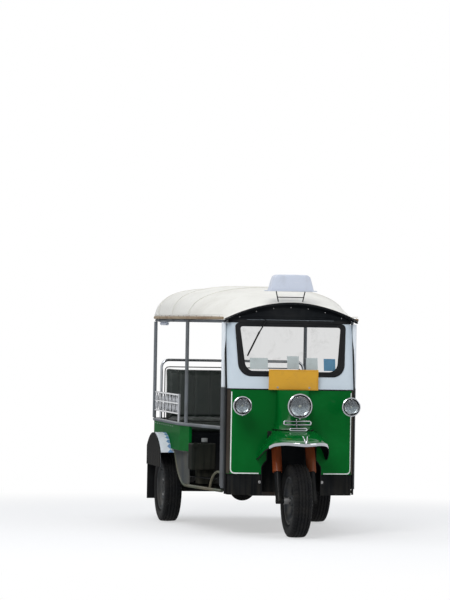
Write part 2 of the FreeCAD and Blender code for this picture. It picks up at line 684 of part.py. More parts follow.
def side_guard(front_y):
    """Ornamental guard ahead of the rear post: rails, end post, scrolls between the upper rails."""
    rear_x, rear_y = REAR_POST
    slope = (BEND[0] - rear_x) / (BEND[1] - rear_y)

    def x_at(y):
        return rear_x + slope * (y - rear_y)

    start_y, end_y = front_y, rear_y - THIN_POST_R - SEAT_GAP
    pieces = [rod((x_at(start_y), start_y, RAIL_Z + z), (x_at(end_y), end_y, RAIL_Z + z), GUARD_R) for z in GUARD_ZS[1:]]
    pieces.append(rod((x_at(start_y), start_y, RAIL_Z + RAIL_R + SEAT_GAP),
                      (x_at(start_y), start_y, RAIL_Z + GUARD_ZS[-1] + GUARD_R + 1.5), GUARD_R + 2.0))
    gap = GUARD_ZS[3] - GUARD_ZS[1]
    mid_z = RAIL_Z + (GUARD_ZS[3] + GUARD_ZS[1]) / 2
    ring_r = gap / 2
    margin = 3.0
    count = int((end_y - start_y) / SCROLL_PITCH)
    pitch = (end_y - start_y - 2 * margin) / count
    for i in range(count):
        y = start_y + margin + pitch * (i + 0.5)
        centre = V(x_at(y), y, mid_z)
        along = V(slope, 1, 0).normalize()
        normal = along.cross(Z_AXIS)
        hoop = Part.makeCylinder(ring_r + 3.0, 6.0, centre - normal * 3.0, normal)
        pieces.append(hoop.cut(Part.makeCylinder(ring_r - 3.0, 8.0, centre - normal * 4.0, normal)))
    return fuse(pieces)


# Tub, side panels and fenders

def tub_side(side, front_y):
    """Side wall of the tub between its lower edge and the rail."""
    stations = [y for y in (BEND[1], MID_POST[1]) if y > front_y]
    ys = [front_y] + sorted(stations) + [REAR_POST[1]]
    outer = [(side * (body_half(y) - 1.0), y, TUB_BOTTOM_Z) for y in ys]
    inner = [(side * (body_half(y) - 1.0 - WALL), y, TUB_BOTTOM_Z) for y in reversed(ys)]
    wall = polygon_prism(outer + inner, V(0, 0, TUB_TOP_Z - TUB_BOTTOM_Z))
    arch = rod((-900, REAR_Y, AXLE_Z), (900, REAR_Y, AXLE_Z), FENDER_R + SEAT_GAP)
    return wall.cut(arch)


def tub_tail():
    """Tail panel with rounded corners, joining the two sides."""
    half = REAR_POST[0] - 1.0
    y0, y1 = REAR_POST[1], TUB_REAR_Y
    radius = TAIL_CORNER

    def outline(inset):
        h, y, r = half - inset, y1 - inset, radius - inset
        d = r * (1 - math.sqrt(0.5))
        arc = [V(h, y - r, TAIL_BOTTOM_Z), V(h - d, y - d, TAIL_BOTTOM_Z), V(h - r, y, TAIL_BOTTOM_Z)]
        far = [V(-p.x, p.y, p.z) for p in reversed(arc)]
        return [
            Part.makeLine(V(h, y0, TAIL_BOTTOM_Z), arc[0]), Part.Arc(*arc).toShape(),
            Part.makeLine(arc[2], far[0]), Part.Arc(*far).toShape(),
            Part.makeLine(far[2], V(-h, y0, TAIL_BOTTOM_Z)),
            Part.makeLine(V(-h, y0, TAIL_BOTTOM_Z), V(h, y0, TAIL_BOTTOM_Z)),
        ]

    height = V(0, 0, TUB_TOP_Z - TAIL_BOTTOM_Z)
    return prism(outline(0.0), height).cut(prism(outline(WALL), height))


SIDE_X = body_half(MID_POST[1]) - 16.0    # plane of the lower side panels


def side_panel(side):
    """Ribbed lower side panel, cut away in a curve ahead of the rear wheel."""
    sheet_x = side * SIDE_X
    low, top = SILL_Z, TUB_BOTTOM_Z

    def at(y, z):
        return V(sheet_x, y, z)

    sweep = Part.Arc(at(SIDE_PANEL_SILL_Y, low), at(SIDE_PANEL_SILL_Y + 230.0, low + 62.0), at(SIDE_PANEL_REAR_Y, top))
    outline = [
        Part.makeLine(at(SIDE_PANEL_FRONT_Y, low), at(SIDE_PANEL_SILL_Y, low)), sweep.toShape(),
        Part.makeLine(at(SIDE_PANEL_REAR_Y, top), at(SIDE_PANEL_FRONT_Y, top)),
        Part.makeLine(at(SIDE_PANEL_FRONT_Y, top), at(SIDE_PANEL_FRONT_Y, low)),
    ]
    sheet = prism(outline, V(-side * SHEET, 0, 0))
    flange = box(min(side * (SIDE_X - SHEET), side * (BEND[0] - WALL + 8.0)),
                 max(side * (SIDE_X - SHEET), side * (BEND[0] - WALL + 8.0)),
                 SIDE_PANEL_FRONT_Y + 40.0, SIDE_PANEL_REAR_Y - 2.0, top - SHEET, top)
    deep = prism(outline, V(side * 8.0, 0, 0))
    count = int((SIDE_PANEL_REAR_Y - SIDE_PANEL_FRONT_Y) / RIB_PITCH)
    ribs = []
    for i in range(count):
        y = SIDE_PANEL_FRONT_Y + RIB_PITCH * (i + 0.5)
        ribs.append(Part.makeCylinder(9.0, top - low, V(sheet_x - side * 2.0, y, low)).common(deep))
    panel = fuse([sheet, flange] + [rib for rib in ribs if rib.Solids]).cut(rim_tube(side, SEAT_GAP))
    if side > 0:
        panel = panel.cut(box(sheet_x - 50.0, sheet_x + 50.0, -2000, ENTRY_Y, FLOOR_Z, top + 10.0))
    return panel


def rim_tube(side, grow=0.0):
    """Tube round the curved edge of the lower side panel and on along the sill to the windscreen post."""
    radius = RIM_TUBE_R + grow
    x = side * SIDE_X
    low_z = SILL_Z - RIM_TUBE_R
    front = V(side * (A_POST[0] - 2.0), A_POST[1] + POST_R + 1.0, low_z)
    knee = V(x, SIDE_PANEL_FRONT_Y, low_z)
    low = V(x, SIDE_PANEL_SILL_Y, low_z)
    middle = V(x, SIDE_PANEL_SILL_Y + 238.0, SILL_Z + 52.0)
    high = V(x, SIDE_PANEL_REAR_Y + RIM_TUBE_R, TUB_BOTTOM_Z - 2.0)
    curved = bend_sector(low, middle, high, radius)
    joints = [Part.makeSphere(radius + WELD, knee), Part.makeSphere(radius + WELD, low)]
    return fuse([rod(tuple(front), tuple(knee), radius), rod(tuple(knee), tuple(low), radius), curved] + joints)


def sill_brace():
    """Curved brace from the foot of the right windscreen post down to the sill tube."""
    start_y = A_POST[1] + POST_R + 1.0
    y = A_POST[1] + GRAB_GAP + GRAB_R + 2.5
    low_z = SILL_Z - RIM_TUBE_R

    def sill_x(at_y):
        return -(A_POST[0] - 2.0 + (SIDE_X - A_POST[0] + 2.0) * (at_y - start_y) / (SIDE_PANEL_FRONT_Y - start_y))

    top = V(-A_POST[0], y, low_z + BRACE_RISE)
    middle = V(sill_x(y + 0.72 * BRACE_RUN), y + 0.72 * BRACE_RUN, low_z + 0.74 * BRACE_RISE)
    foot = V(sill_x(y + BRACE_RUN), y + BRACE_RUN, low_z)
    return bend_sector(top, middle, foot, BRACE_R)


def rear_fender(side):
    """Fender arched over a rear wheel, with a deep flat flange on its outer side."""
    x0, x1 = FENDER_IN_X, FENDER_OUT_X
    axle = (x0, REAR_Y, AXLE_Z)

    def disc(radius, start_x, end_x):
        return rod((start_x, REAR_Y, axle[2]), (end_x, REAR_Y, axle[2]), radius)

    band = disc(FENDER_R, x0, x1).cut(disc(FENDER_R - FENDER_WALL, x0 - 1.0, x1 + 1.0))
    flange = disc(FENDER_R, x1 - FENDER_WALL, x1)
    kept = box(x0 - 1.0, x1 + 1.0, REAR_Y - FENDER_AHEAD, REAR_Y + FENDER_BEHIND, FLANGE_BOTTOM_Z, AXLE_Z + FENDER_R + 1.0)
    shape = fuse([band, flange]).common(kept)
    return shape if side > 0 else mirror(shape)


def mud_flap(side):
    """Rubber flap hung below the rear end of the fender, just inside its flange."""
    y = REAR_Y + FENDER_BEHIND
    top = AXLE_Z + math.sqrt((FENDER_R - FENDER_WALL) ** 2 - FENDER_BEHIND ** 2) - SEAT_GAP
    flap = box(FENDER_IN_X + 6.0, FENDER_OUT_X - FENDER_WALL - SEAT_GAP, y - 5.0, y, FLAP_BOTTOM_Z, top)
    return flap if side > 0 else mirror(flap)


# Bench and driver's seat

def rounded_block(x0, x1, y0, y1, z0, z1, radius):
    """A block whose edges are all rounded."""
    block = box(x0, x1, y0, y1, z0, z1)
    return block.makeFillet(radius, block.Edges)


def bench_base():
    """Steel box under the bench, open below, between the wheels."""
    half, top = HOUSING_HALF, FENDER_TOP_Z + SHEET
    y0, y1 = BENCH_FRONT_Y, REAR_POST[1] - 6.0
    outer = box(-half, half, y0, y1, FLOOR_Z + 22.0, top)
    inner = box(-half + SHEET, half - SHEET, y0 + SHEET, y1 + 1.0, FLOOR_Z + 21.0, top - SHEET)
    feet = [box(-half, half, y0, y0 + SHEET, FLOOR_Z, FLOOR_Z + 22.0)]
    return fuse([outer.cut(inner)] + feet)


def bench_deck():
    """Side and rear shelf of the tub over the wheels, level with the bench box."""
    half_in = HOUSING_HALF
    y0, y1 = REAR_Y - FENDER_R - 30.0, REAR_POST[1] - 2.0
    outer = [(body_half(y0) - WALL - 1.5, y0, FENDER_TOP_Z), (body_half(y1) - WALL - 1.5, y1, FENDER_TOP_Z),
             (half_in, y1, FENDER_TOP_Z), (half_in, y0, FENDER_TOP_Z)]
    return both(polygon_prism(outer, V(0, 0, SHEET)))


def bench_cushion():
    """Long seat cushion of the bench."""
    return rounded_block(-BENCH_HALF, BENCH_HALF, BENCH_FRONT_Y - 20.0, BACK_Y - SEAT_GAP,
                         BENCH_REST_Z, BENCH_REST_Z + CUSHION_T, 28.0)


def bench_backrest():
    """Upright backrest across the bench."""
    low = BENCH_REST_Z
    shape = rounded_block(-BENCH_HALF, BENCH_HALF, BACK_Y, BACK_Y + BACK_T, low, BACK_TOP_Z, 28.0)
    return shape


def backrest_hoop():
    """Tube round the top of the backrest, down to the tub deck at both ends."""
    x = BENCH_HALF + HOOP_R + SEAT_GAP + 1.0
    y = BACK_Y + BACK_T / 2
    top = BACK_TOP_Z + HOOP_R + 34.0
    return bent_tube([(-x, y, FENDER_TOP_Z + SHEET), (-x, y, top), (x, y, top), (x, y, FENDER_TOP_Z + SHEET)],
                     HOOP_R, 60.0)


def driver_seat():
    """Cushion and low backrest of the driver's seat."""
    half, y0, y1 = DRIVER_SEAT
    low = COVER_TOP_Z + SEAT_GAP
    cushion = rounded_block(-half, half, y0 + 30.0, y1, low, low + 95.0, 26.0)
    back = rounded_block(-half + 20.0, half - 20.0, y1 + 2.0, y1 + 64.0, low, low + 330.0, 24.0)
    return [cushion, back]


# Roof

def roof_section(y, half, crown_z, radius, shrink, drop):
    """Section of the canopy at a station: upright side, round shoulder, cambered top."""
    half, crown_z = half - shrink, crown_z - shrink
    low = HEM_Z - drop
    side_z = crown_z - (crown_z - HEM_Z) * 0.62 if radius > 70 else crown_z - (crown_z - HEM_Z) * 0.86
    knee_x = half - radius * 0.95
    knee_z = crown_z - (crown_z - side_z) * (0.20 if radius > 70 else 0.30)
    mid_x = half - radius * 0.26
    mid_z = side_z + (knee_z - side_z) * 0.72
    points = [V(-half, y, side_z), V(-mid_x, y, mid_z), V(-knee_x, y, knee_z)]
    other = [V(-p.x, p.y, p.z) for p in reversed(points)]
    return Part.Wire([
        Part.makeLine(V(-half, y, low), points[0]),
        Part.Arc(*points).toShape(),
        Part.Arc(points[2], V(0, y, crown_z), other[0]).toShape(),
        Part.Arc(*other).toShape(),
        Part.makeLine(other[2], V(half, y, low)),
        Part.makeLine(V(half, y, low), V(-half, y, low)),
    ])


def roof_form(shrink, drop, end_shrink=0.0):
    """The canopy as a solid form through its stations."""
    stations = list(ROOF_STATIONS)
    first, last = stations[0], stations[-1]
    stations[0] = (first[0] + end_shrink,) + first[1:]
    stations[-1] = (last[0] - end_shrink,) + last[1:]
    wires = [roof_section(y, half, crown, radius, shrink, drop) for y, half, crown, radius in stations]
    return Part.makeLoft(wires, True, True)


def roof_canopy():
    """Canopy sheet, hollow below and open at the front, closed by its rounded rear end."""
    return roof_form(0.0, 0.0).cut(roof_form(ROOF_SHEET, 40.0, 0.0).common(
        box(-900, 900, -3000, ROOF_STATIONS[-1][0] - ROOF_SHEET, 1000, 2500)))


def bow(y, half, crown_z, radius):
    """A roof bow bent under the canopy at a station."""
    edges = roof_section(y, half, crown_z, radius, ROOF_RAIL_INSET, 12.0).Edges[:5]
    pieces = []
    for edge in edges:
        start = edge.valueAt(edge.FirstParameter)
        end = edge.valueAt(edge.LastParameter)
        if edge.Curve.TypeId == "Part::GeomLine":
            pieces.append(rod(tuple(start), tuple(end), BOW_R))
        else:
            middle = edge.valueAt((edge.FirstParameter + edge.LastParameter) / 2)
            pieces.append(bend_sector(start, middle, end, BOW_R))
            pieces.append(Part.makeSphere(BOW_R + WELD, start))
            pieces.append(Part.makeSphere(BOW_R + WELD, end))
    return pieces


def roof_frame():
    """Side rails and bows that carry the canopy."""
    stations = [(half - ROOF_RAIL_INSET, y) for y, half, crown, radius in ROOF_STATIONS]
    z = HEM_Z - BOW_R
    points = [(x, y, z) for x, y in stations[:5]] + [(REAR_POST[0] - 4.0, REAR_POST[1] + 20.0, z)]
    right = [(-x, y, zz) for x, y, zz in points]
    rear_y = ROOF_STATIONS[-1][0] - ROOF_SHEET - BOW_R - 2.0
    loop = right + [(-REAR_POST[0] + 60.0, rear_y, z), (REAR_POST[0] - 60.0, rear_y, z)] + list(reversed(points))
    rail = bent_tube(loop, BOW_R, 22.0)
    bows = [piece for i in (2, 3, 4) for piece in bow(*ROOF_STATIONS[i])]
    return fuse([rail] + bows)


def roof_visor():
    """Black arched visor ahead of the canopy's front edge."""
    y0 = ROOF_STATIONS[0][0] - VISOR_REACH
    half, crown = ROOF_STATIONS[0][1], ROOF_STATIONS[0][2]

    def arch(y, shrink, drop):
        h, c, low = half - shrink, crown - shrink + drop, HEM_Z - 6.0 + drop
        return [V(-h, y, low), V(0, y, c + 4.0), V(h, y, low)]

    def section(y, drop):
        top = arch(y, 0.0, drop)
        under = arch(y, VISOR_T, drop)
        return Part.Wire([
            Part.Arc(*top).toShape(), Part.makeLine(top[2], under[2]),
            Part.Arc(*reversed(under)).toShape(), Part.makeLine(under[0], top[0]),
        ])

    return Part.makeLoft([section(y0, -14.0), section(ROOF_STATIONS[0][0] - 1.0, 0.0)], True, True)


def roof_header():
    """Black panel that closes the canopy's front above the windscreen."""
    front = ROOF_STATIONS[0][0] + 1.0
    return roof_form(ROOF_SHEET + SEAT_GAP, 0.0).common(
        box(-900, 900, front, front + HEADER_T, SCREEN_TOP_Z, 2500))


# Lamps, plates, sign and small fittings

def turned(points, start, direction):
    """A solid turned about an axis from (along, radius) pairs that start and end on it."""
    corners = [V(r, 0, along) for along, r in points]
    face = Part.Face(Part.makePolygon(corners + [corners[0]]))
    shape = face.revolve(V(0, 0, 0), Z_AXIS, 360)
    shape.Placement = FreeCAD.Placement(V(*start), FreeCAD.Rotation(Z_AXIS, V(*direction)))
    return shape


def face_y_at(x):
    """Front face of the green wall at a distance from the middle."""
    share = x / (FACE_HALF - FACE_CORNER)
    return FACE_Y - FACE_BULGE * (1 - share ** 2)


def headlamp():
    """Headlamp bowl on a stalk from the nose, its bezel ring and its glass."""
    y, z = HEADLAMP
    r = HEADLAMP_R
    depth = 120.0
    bowl = turned([(0, 0), (0, 34.0), (18.0, 58.0), (52.0, r - 14.0), (depth - 16.0, r - 4.0),
                   (depth - 16.0, 0)], (0, y + depth, z), (0, -1, 0))
    bezel = turned([(depth - 16.0 + 0.1, r - 12.0), (depth - 16.0 + 0.1, r), (depth - 4.0, r), (depth, r - 6.0),
                    (depth, r - 12.0)], (0, y + depth, z), (0, -1, 0))
    dome = r - 12.0 - SEAT_GAP
    glass = turned([(depth - 15.0, 0), (depth - 15.0, dome), (depth - 2.0, dome), (depth + 4.0, dome * 0.7),
                    (depth + 8.0, dome * 0.35), (depth + 9.0, 0)], (0, y + depth, z), (0, -1, 0))
    stalk = rod((0, nose_y_at(z) + 40.0, z), (0, y + depth - 10.0, z), 26.0)
    return fuse([bowl, stalk]).cut(nose_loft(-SEAT_GAP)), bezel, glass


def side_lamp(side):
    """Bullet-shaped side lamp on a short stalk from the front face."""
    x, y, z = side * SIDE_LAMP[0], SIDE_LAMP[1], SIDE_LAMP[2]
    r = SIDE_LAMP_R
    depth = 150.0
    body = turned([(0, 0), (3.0, 16.0), (22.0, 34.0), (60.0, r - 16.0), (depth - 14.0, r - 3.0),
                   (depth - 14.0, 0)], (x, y + depth, z), (0, -1, 0))
    bezel = turned([(depth - 14.0 + 0.1, r - 11.0), (depth - 14.0 + 0.1, r), (depth - 3.0, r), (depth, r - 5.0),
                    (depth, r - 11.0)], (x, y + depth, z), (0, -1, 0))
    dome = r - 11.0 - SEAT_GAP
    glass = turned([(depth - 13.0, 0), (depth - 13.0, dome), (depth - 2.0, dome), (depth + 3.0, dome * 0.7),
                    (depth + 6.0, 0)], (x, y + depth, z), (0, -1, 0))
    wall_y = face_y_at(SIDE_LAMP[0])
    stalk = rod((x, wall_y - 1.6, z), (x, y + depth - 12.0, z), 12.0)
    return fuse([body, stalk]), bezel, glass


def nose_y_at(z):
    """Foremost line of the nose column at a height."""
    root_y = FACE_Y - FACE_BULGE + 12.0
    for (z0, a0, b0, reach0), (z1, a1, b1, reach1) in zip(NOSE_SECTIONS, NOSE_SECTIONS[1:]):
        if z >= z1:
            return root_y - reach0 - (reach1 - reach0) * (z0 - z) / (z0 - z1)
    return root_y - NOSE_SECTIONS[-1][3]


def grille_bars():
    """Long rounded rings of bar stock ahead of the nose, on short feet, with the bright V below."""
    pieces = []
    for z, half, height in ((GRILLE_Z, GRILLE_HALF, 26.0), (GRILLE_Z - GRILLE_PITCH, GRILLE_HALF * 0.62, 16.0)):
        y = nose_y_at(z) - 34.0
        r = GRILLE_BAR_R * 0.75
        h = height / 2
        bar = []
        for s in (-1, 1):
            bar.append(rod((-half + h, y, z + s * h), (half - h, y, z + s * h), r))
            bar.append(bend_sector(V(s * (half - h), y, z + h), V(s * half, y, z), V(s * (half - h), y, z - h), r))
        feet = [rod((s * half * 0.35, y, z + h), (s * half * 0.35, nose_y_at(z) + 16.0, z + h), r * 0.8)
                for s in (-1, 1)]
        pieces.append(fuse(bar + feet).cut(nose_loft(-SEAT_GAP)))
    return pieces


def front_plate():
    """Blank plate on its two brackets at the seam of the green wall and the windscreen panel."""
    y = FACE_Y - FACE_BULGE - 26.0
    plate = box(-PLATE_W / 2, PLATE_W / 2, y - 3.0, y, PLATE_BOTTOM_Z, PLATE_BOTTOM_Z + PLATE_H)
    feet = [box(s * 120.0 - 12.0, s * 120.0 + 12.0, y, face_y_at(120.0) - 0.6, GREEN_TOP_Z - 1.0,
                GREEN_TOP_Z + 17.0) for s in (-1, 1)]
    return fuse([plate] + feet)


def rear_plate():
    """Blank plate on the tail panel."""
    y = TUB_REAR_Y + 3.0
    plate = box(-PLATE_W / 2, PLATE_W / 2, y, y + 3.0, 500.0, 500.0 + PLATE_H)
    feet = [box(s * 120.0 - 12.0, s * 120.0 + 12.0, TUB_REAR_Y, y, 540.0, 590.0) for s in (-1, 1)]
    return fuse([plate] + feet)


def tail_lamps():
    """A round red lamp at each side of the tail panel."""
    lamps = []
    for side in (-1, 1):
        lamps.append(turned([(0, 0), (0, 46.0), (22.0, 44.0), (34.0, 30.0), (38.0, 0)],
                            (side * 480.0, TUB_REAR_Y, 660.0), (0, 1, 0)))
    return lamps


def roof_sign():
    """Blank lighted sign: a case with slanted ends and a rounded top."""
    y0, y1 = ROOF_STATIONS[0][0] - 70.0, ROOF_STATIONS[0][0] + 40.0
    z0, z1 = SIGN_BOTTOM_Z, SIGN_BOTTOM_Z + SIGN_H
    base, top = SIGN_W / 2, SIGN_W / 2 - 44.0
    outline = [
        Part.makeLine(V(-base, y0, z0), V(base, y0, z0)),
        Part.makeLine(V(base, y0, z0), V(base, y0, z0 + 14.0)),
        Part.makeLine(V(base, y0, z0 + 14.0), V(top, y0, z1 - 22.0)),
        Part.Arc(V(top, y0, z1 - 22.0), V(0, y0, z1), V(-top, y0, z1 - 22.0)).toShape(),
        Part.makeLine(V(-top, y0, z1 - 22.0), V(-base, y0, z0 + 14.0)),
        Part.makeLine(V(-base, y0, z0 + 14.0), V(-base, y0, z0)),
    ]
    return prism(outline, V(0, y1 - y0, 0))


def sign_legs():
    """Wire legs and cross wires that carry the sign above the roof."""
    wire_r = 4.0
    y = ROOF_STATIONS[0][0] - 15.0
    legs = []
    foot_z = ROOF_STATIONS[0][2] + 3.5
    for s in (-1, 1):
        legs.append(rod((s * 90.0, y, foot_z), (s * 110.0, y, SIGN_BOTTOM_Z - 1.0), wire_r))
        legs.append(box(s * 90.0 - 14.0, s * 90.0 + 14.0, y - 12.0, y + 12.0, foot_z - 2.0, foot_z + 5.0))
    legs.append(rod((-104.0, y, foot_z + 45.0), (104.0, y, foot_z + 45.0), wire_r * 0.8))
    return fuse(legs)


def rear_bumper():
    """Bumper tube with its two stays and a tow eye plate in the middle."""
    y = TUB_REAR_Y + 90.0
    z = 400.0
    tube = bent_tube([(-520.0, TUB_REAR_Y + 10.0, z), (-520.0, y, z), (520.0, y, z), (520.0, TUB_REAR_Y + 10.0, z)],
                     BUMPER_R, 60.0)
    low = FLOOR_Z - SHEET - RAIL_H
    stay_x = RAIL_HALF - RAIL_W / 2
    stays = [box(s * stay_x - 18.0, s * stay_x + 18.0, TUB_REAR_Y - 20.0, y, low + 4.0, z) for s in (-1, 1)]
    eye = box(-TOW_PLATE / 2, TOW_PLATE / 2, y - 10.0, y + 10.0, z - 110.0, z)
    eye = eye.cut(rod((0, y - 20.0, z - TOW_DROP), (0, y + 20.0, z - TOW_DROP), TOW_BORE_R))
    return fuse([tube, eye] + stays)


def side_box():
    """Closed box below the right rail, with its filler caps and a battery tray under the floor."""
    x0, x1 = -body_half(TUB_FRONT_Y) - 6.0, -(RAIL_HALF + 98.0)
    y0, y1 = TUB_FRONT_Y - SIDE_BOX_DEPTH, TUB_FRONT_Y - 4.0
    low, top = FLOOR_Z + 50.0, FLOOR_Z + 254.0
    case = rounded_block(x0, x1, y0, y1, low, top, 14.0)
    cap = rod((x0 + 26.0, y0 + 12.0, top - 14.0), (x0 + 26.0, y0 - 12.0, top - 14.0), 19.0)
    knob = rod((x0 + 108.0, y0 + 60.0, top - 2.0), (x0 + 108.0, y0 + 60.0, top + 38.0), 24.0)
    bracket = box(x0 + 50.0, x1 - 10.0, y0 + 40.0, y1 - 40.0, FLOOR_Z, low + 15.0)
    return fuse([case, cap, knob, bracket])


def battery_tray():
    """Plain box hung below the floor under the side box."""
    y0, y1 = TUB_FRONT_Y - SIDE_BOX_DEPTH + 12.0, TUB_FRONT_Y - 16.0
    return box(-(RAIL_HALF + 225.0), -(RAIL_HALF + 100.0), y0, y1, FLOOR_Z - 54.0, FLOOR_Z - SHEET)


def roof_lamp():
    """Small tube lamp under the right roof rail at the rear."""
    tray_half = 18.0
    y0, y1 = FRONT_Y + 2240.0, FRONT_Y + 2500.0
    x = -(ROOF_STATIONS[4][1] - ROOF_RAIL_INSET - BOW_R - SEAT_GAP - tray_half)
    z = HEM_Z - BOW_R - 27.0
    tube = rod((x, y0, z), (x, y1, z), 13.0)
    tray = box(x - tray_half, x + tray_half, y0 - 8.0, y1 + 8.0, z + 12.0, z + 30.0)
    return fuse([tube, tray])


def wiper():
    """Wiper hung from the top of the windscreen: pivot, arm and blade."""
    def glass_y(z):
        return FACE_Y - FACE_BULGE + SCREEN_LEAN * (z - GREEN_TOP_Z) / (SCREEN_TOP_Z - GREEN_TOP_Z)

    top = (-250.0, glass_y(1500.0) - 14.0, 1500.0)
    tip = (-330.0, glass_y(1350.0) - 14.0 + 4.0, 1350.0)
    pivot = (-195.0, glass_y(1600.0) - 16.0, 1590.0)
    arm = rod(pivot, top, 5.0)
    blade = rod(top, tip, 6.0)
    return fuse([arm, blade, Part.makeSphere(8.0, V(*top)), rod(pivot, (pivot[0], pivot[1] + 17.0, pivot[2]), 10.0)])


# Steering body


def fork_legs():
    """Lower fork legs with their ends on the spindle."""
    low_z = AXLE_Z - 10.0
    legs = []
    for s in (-1, 1):
        leg = rod((s * FORK_SPREAD, leg_y(low_z), low_z), (s * FORK_SPREAD, leg_y(COVER_BOTTOM_Z), COVER_BOTTOM_Z),
                  FORK_SLIDER_R)
        lug = rod((s * LUG_IN, FRONT_Y, AXLE_Z), (s * (FORK_SPREAD + 24.0), FRONT_Y, AXLE_Z), 24.0)
        legs.append(fuse([leg, lug]))
    return legs


def fork_covers():
    """Painted upper covers of the fork legs."""
    return [rod((s * FORK_SPREAD, leg_y(COVER_BOTTOM_Z + 0.1), COVER_BOTTOM_Z + 0.1),
                (s * FORK_SPREAD, leg_y(COVER_TOP_Z), COVER_TOP_Z), FORK_COVER_R) for s in (-1, 1)]


def front_spindle():
    """Spindle through the front hub, between the two fork lugs."""
    end = LUG_IN
    collar = HUB_R - 16.0
    pin = rod((-end, FRONT_Y, AXLE_Z), (end, FRONT_Y, AXLE_Z), HUB_BORE_R - FIT)
    spacers = [rod((s * (RIM_W / 2 + 1.0), FRONT_Y, AXLE_Z), (s * end, FRONT_Y, AXLE_Z), collar) for s in (-1, 1)]
    return fuse([pin] + spacers)


def steering_stem():
    """Stem through the head tube with the lower clamp that holds the fork covers."""
    tilt = math.radians(RAKE)
    up = V(0, math.sin(tilt), math.cos(tilt))
    centre_z = HEAD_BOTTOM_Z - 24.0
    centre = V(0, steer_axis_y(centre_z), centre_z)
    low = HEAD_BOTTOM_Z - 46.0
    stem = rod((0, steer_axis_y(low), low), (0, steer_axis_y(BAR_Z), BAR_Z), STEM_R)
    wide, legs_y = FORK_SPREAD + FORK_COVER_R - 16.0, -FORK_OFFSET * math.cos(tilt)
    clamp = polygon_prism([
        (-wide, legs_y - 28.0, -13.0), (wide, legs_y - 28.0, -13.0), (wide + 12.0, legs_y, -13.0),
        (wide, legs_y + 26.0, -13.0), (34.0, 30.0, -13.0), (-34.0, 30.0, -13.0),
        (-wide, legs_y + 26.0, -13.0), (-wide - 12.0, legs_y, -13.0),
    ], V(0, 0, 26.0))
    clamp.Placement = FreeCAD.Placement(centre, FreeCAD.Rotation(X_AXIS, -RAKE))
    posts = []
    for s in (-1, 1):
        foot = V(s * FORK_SPREAD, leg_y(COVER_TOP_Z + 0.1), COVER_TOP_Z + 0.1)
        posts.append(rod(tuple(foot), tuple(foot + up * 66.0), FORK_SLIDER_R))
    return fuse([stem, clamp] + posts)


def handlebar():
    """Handlebar swept back to its grips, with a clamp block on the stem."""
    y = steer_axis_y(BAR_Z)
    z = BAR_Z + 12.0
    inner_x, rise = 60.0, 30.0
    grip_x = BAR_HALF - GRIP_LENGTH
    end = (BAR_HALF, y + BAR_SWEEP, z + rise)
    bend = (grip_x * 0.62, y + 30.0, z + rise)
    bar = bent_tube([(-end[0], end[1], end[2]), (-bend[0], bend[1], bend[2]), (-inner_x * 0.6, y, z),
                     (inner_x * 0.6, y, z), bend, end], BAR_R, 30.0)
    block = box(-26.0, 26.0, y - 24.0, y + 24.0, BAR_Z - 8.0, z + 14.0)
    stem = rod((0, steer_axis_y(BAR_Z - 60.0), BAR_Z - 60.0), (0, y, BAR_Z), STEM_R)
    bar = fuse([bar, block]).cut(stem)
    grips = []
    for s in (-1, 1):
        start = V(s * bend[0], bend[1], bend[2])
        stop = V(s * end[0], end[1], end[2])
        along = (stop - start).normalize()
        grip = Part.makeCylinder(GRIP_R, GRIP_LENGTH, stop - along * (GRIP_LENGTH - 3.0), along)
        grips.append(grip.cut(bar))
    return bar, grips


# All nodes

def front_wall_nodes():
    """Nodes of the front wall, its windscreen and its nose."""
    arch = arch_cutter(ARCH_HALF, ARCH_TOP_Z)
    clamp_half = FORK_SPREAD + FORK_COVER_R + 22.0
    clamp_slot = box(-clamp_half, clamp_half, FACE_Y - 200.0, FACE_Y + 100.0, ARCH_TOP_Z - 80.0, HEAD_BOTTOM_Z + 12.0)
    head_slot = box(-HEAD_R - SWING_GAP, HEAD_R + SWING_GAP, FACE_Y - 200.0, FACE_Y + 100.0, HEAD_BOTTOM_Z - 1.0,
                    HEAD_BOTTOM_Z + 180.0)
    panel = front_shell(0.0, -WALL, GREEN_BOTTOM_Z, GREEN_TOP_Z).cut([arch, clamp_slot, head_slot])
    skirt = front_shell(-8.0, -WALL, SKIRT_BOTTOM_Z, GREEN_BOTTOM_Z).cut(arch)
    screen_wall = leaning_shell(0.0, -WALL)
    opening = screen_cutter(0.0)
    inner = screen_cutter(-RUBBER_W)
    ring = opening.cut(inner)
    rubber = leaning_shell(RUBBER_PROUD, -WALL - 2.0).common(ring)
    glass = leaning_shell(-7.0, -13.0).common(inner)
    front_only = box(-700, 700, FACE_Y - 200.0, A_POST[1] + 60.0, 0.0, 3000.0)
    save("front_panel", [panel])
    save("front_skirt", [skirt])
    rail_notch = box(FACE_HALF - WALL - 4.0, FACE_HALF + 20.0, ROOF_STATIONS[0][0] - 30.0, FACE_Y + 400.0,
                     HEM_Z - 2 * BOW_R - 4.0, SCREEN_TOP_Z + 10.0)
    save("windscreen_panel", [screen_wall.cut([opening, rail_notch, mirror(rail_notch)])])
    save("windscreen_rubber", [rubber.common(front_only)])
    save("windscreen_glass", [glass.common(front_only)])
    save("nose_fairing", [nose()])
    save("fender_lip", [fender_lip()])
    save("grille_bars", grille_bars())
    save("wiper", [wiper()])


def lamp_nodes():
    """Nodes of the headlamp, side lamps, tail lamps, plates and sign."""
    bowl, bezel, glass = headlamp()
    sides = [side_lamp(side) for side in (-1, 1)]
    save("lamp_bodies", [bowl] + [lamp[0] for lamp in sides])
    save("lamp_bezels", [bezel] + [lamp[1] for lamp in sides])
    save("lamp_glasses", [glass] + [lamp[2] for lamp in sides])
    save("tail_lamps", tail_lamps())
    save("number_plates", [front_plate(), rear_plate()])
    save("roof_sign", [roof_sign()])
    save("sign_legs", [sign_legs()])
    save("roof_lamp", [roof_lamp()])


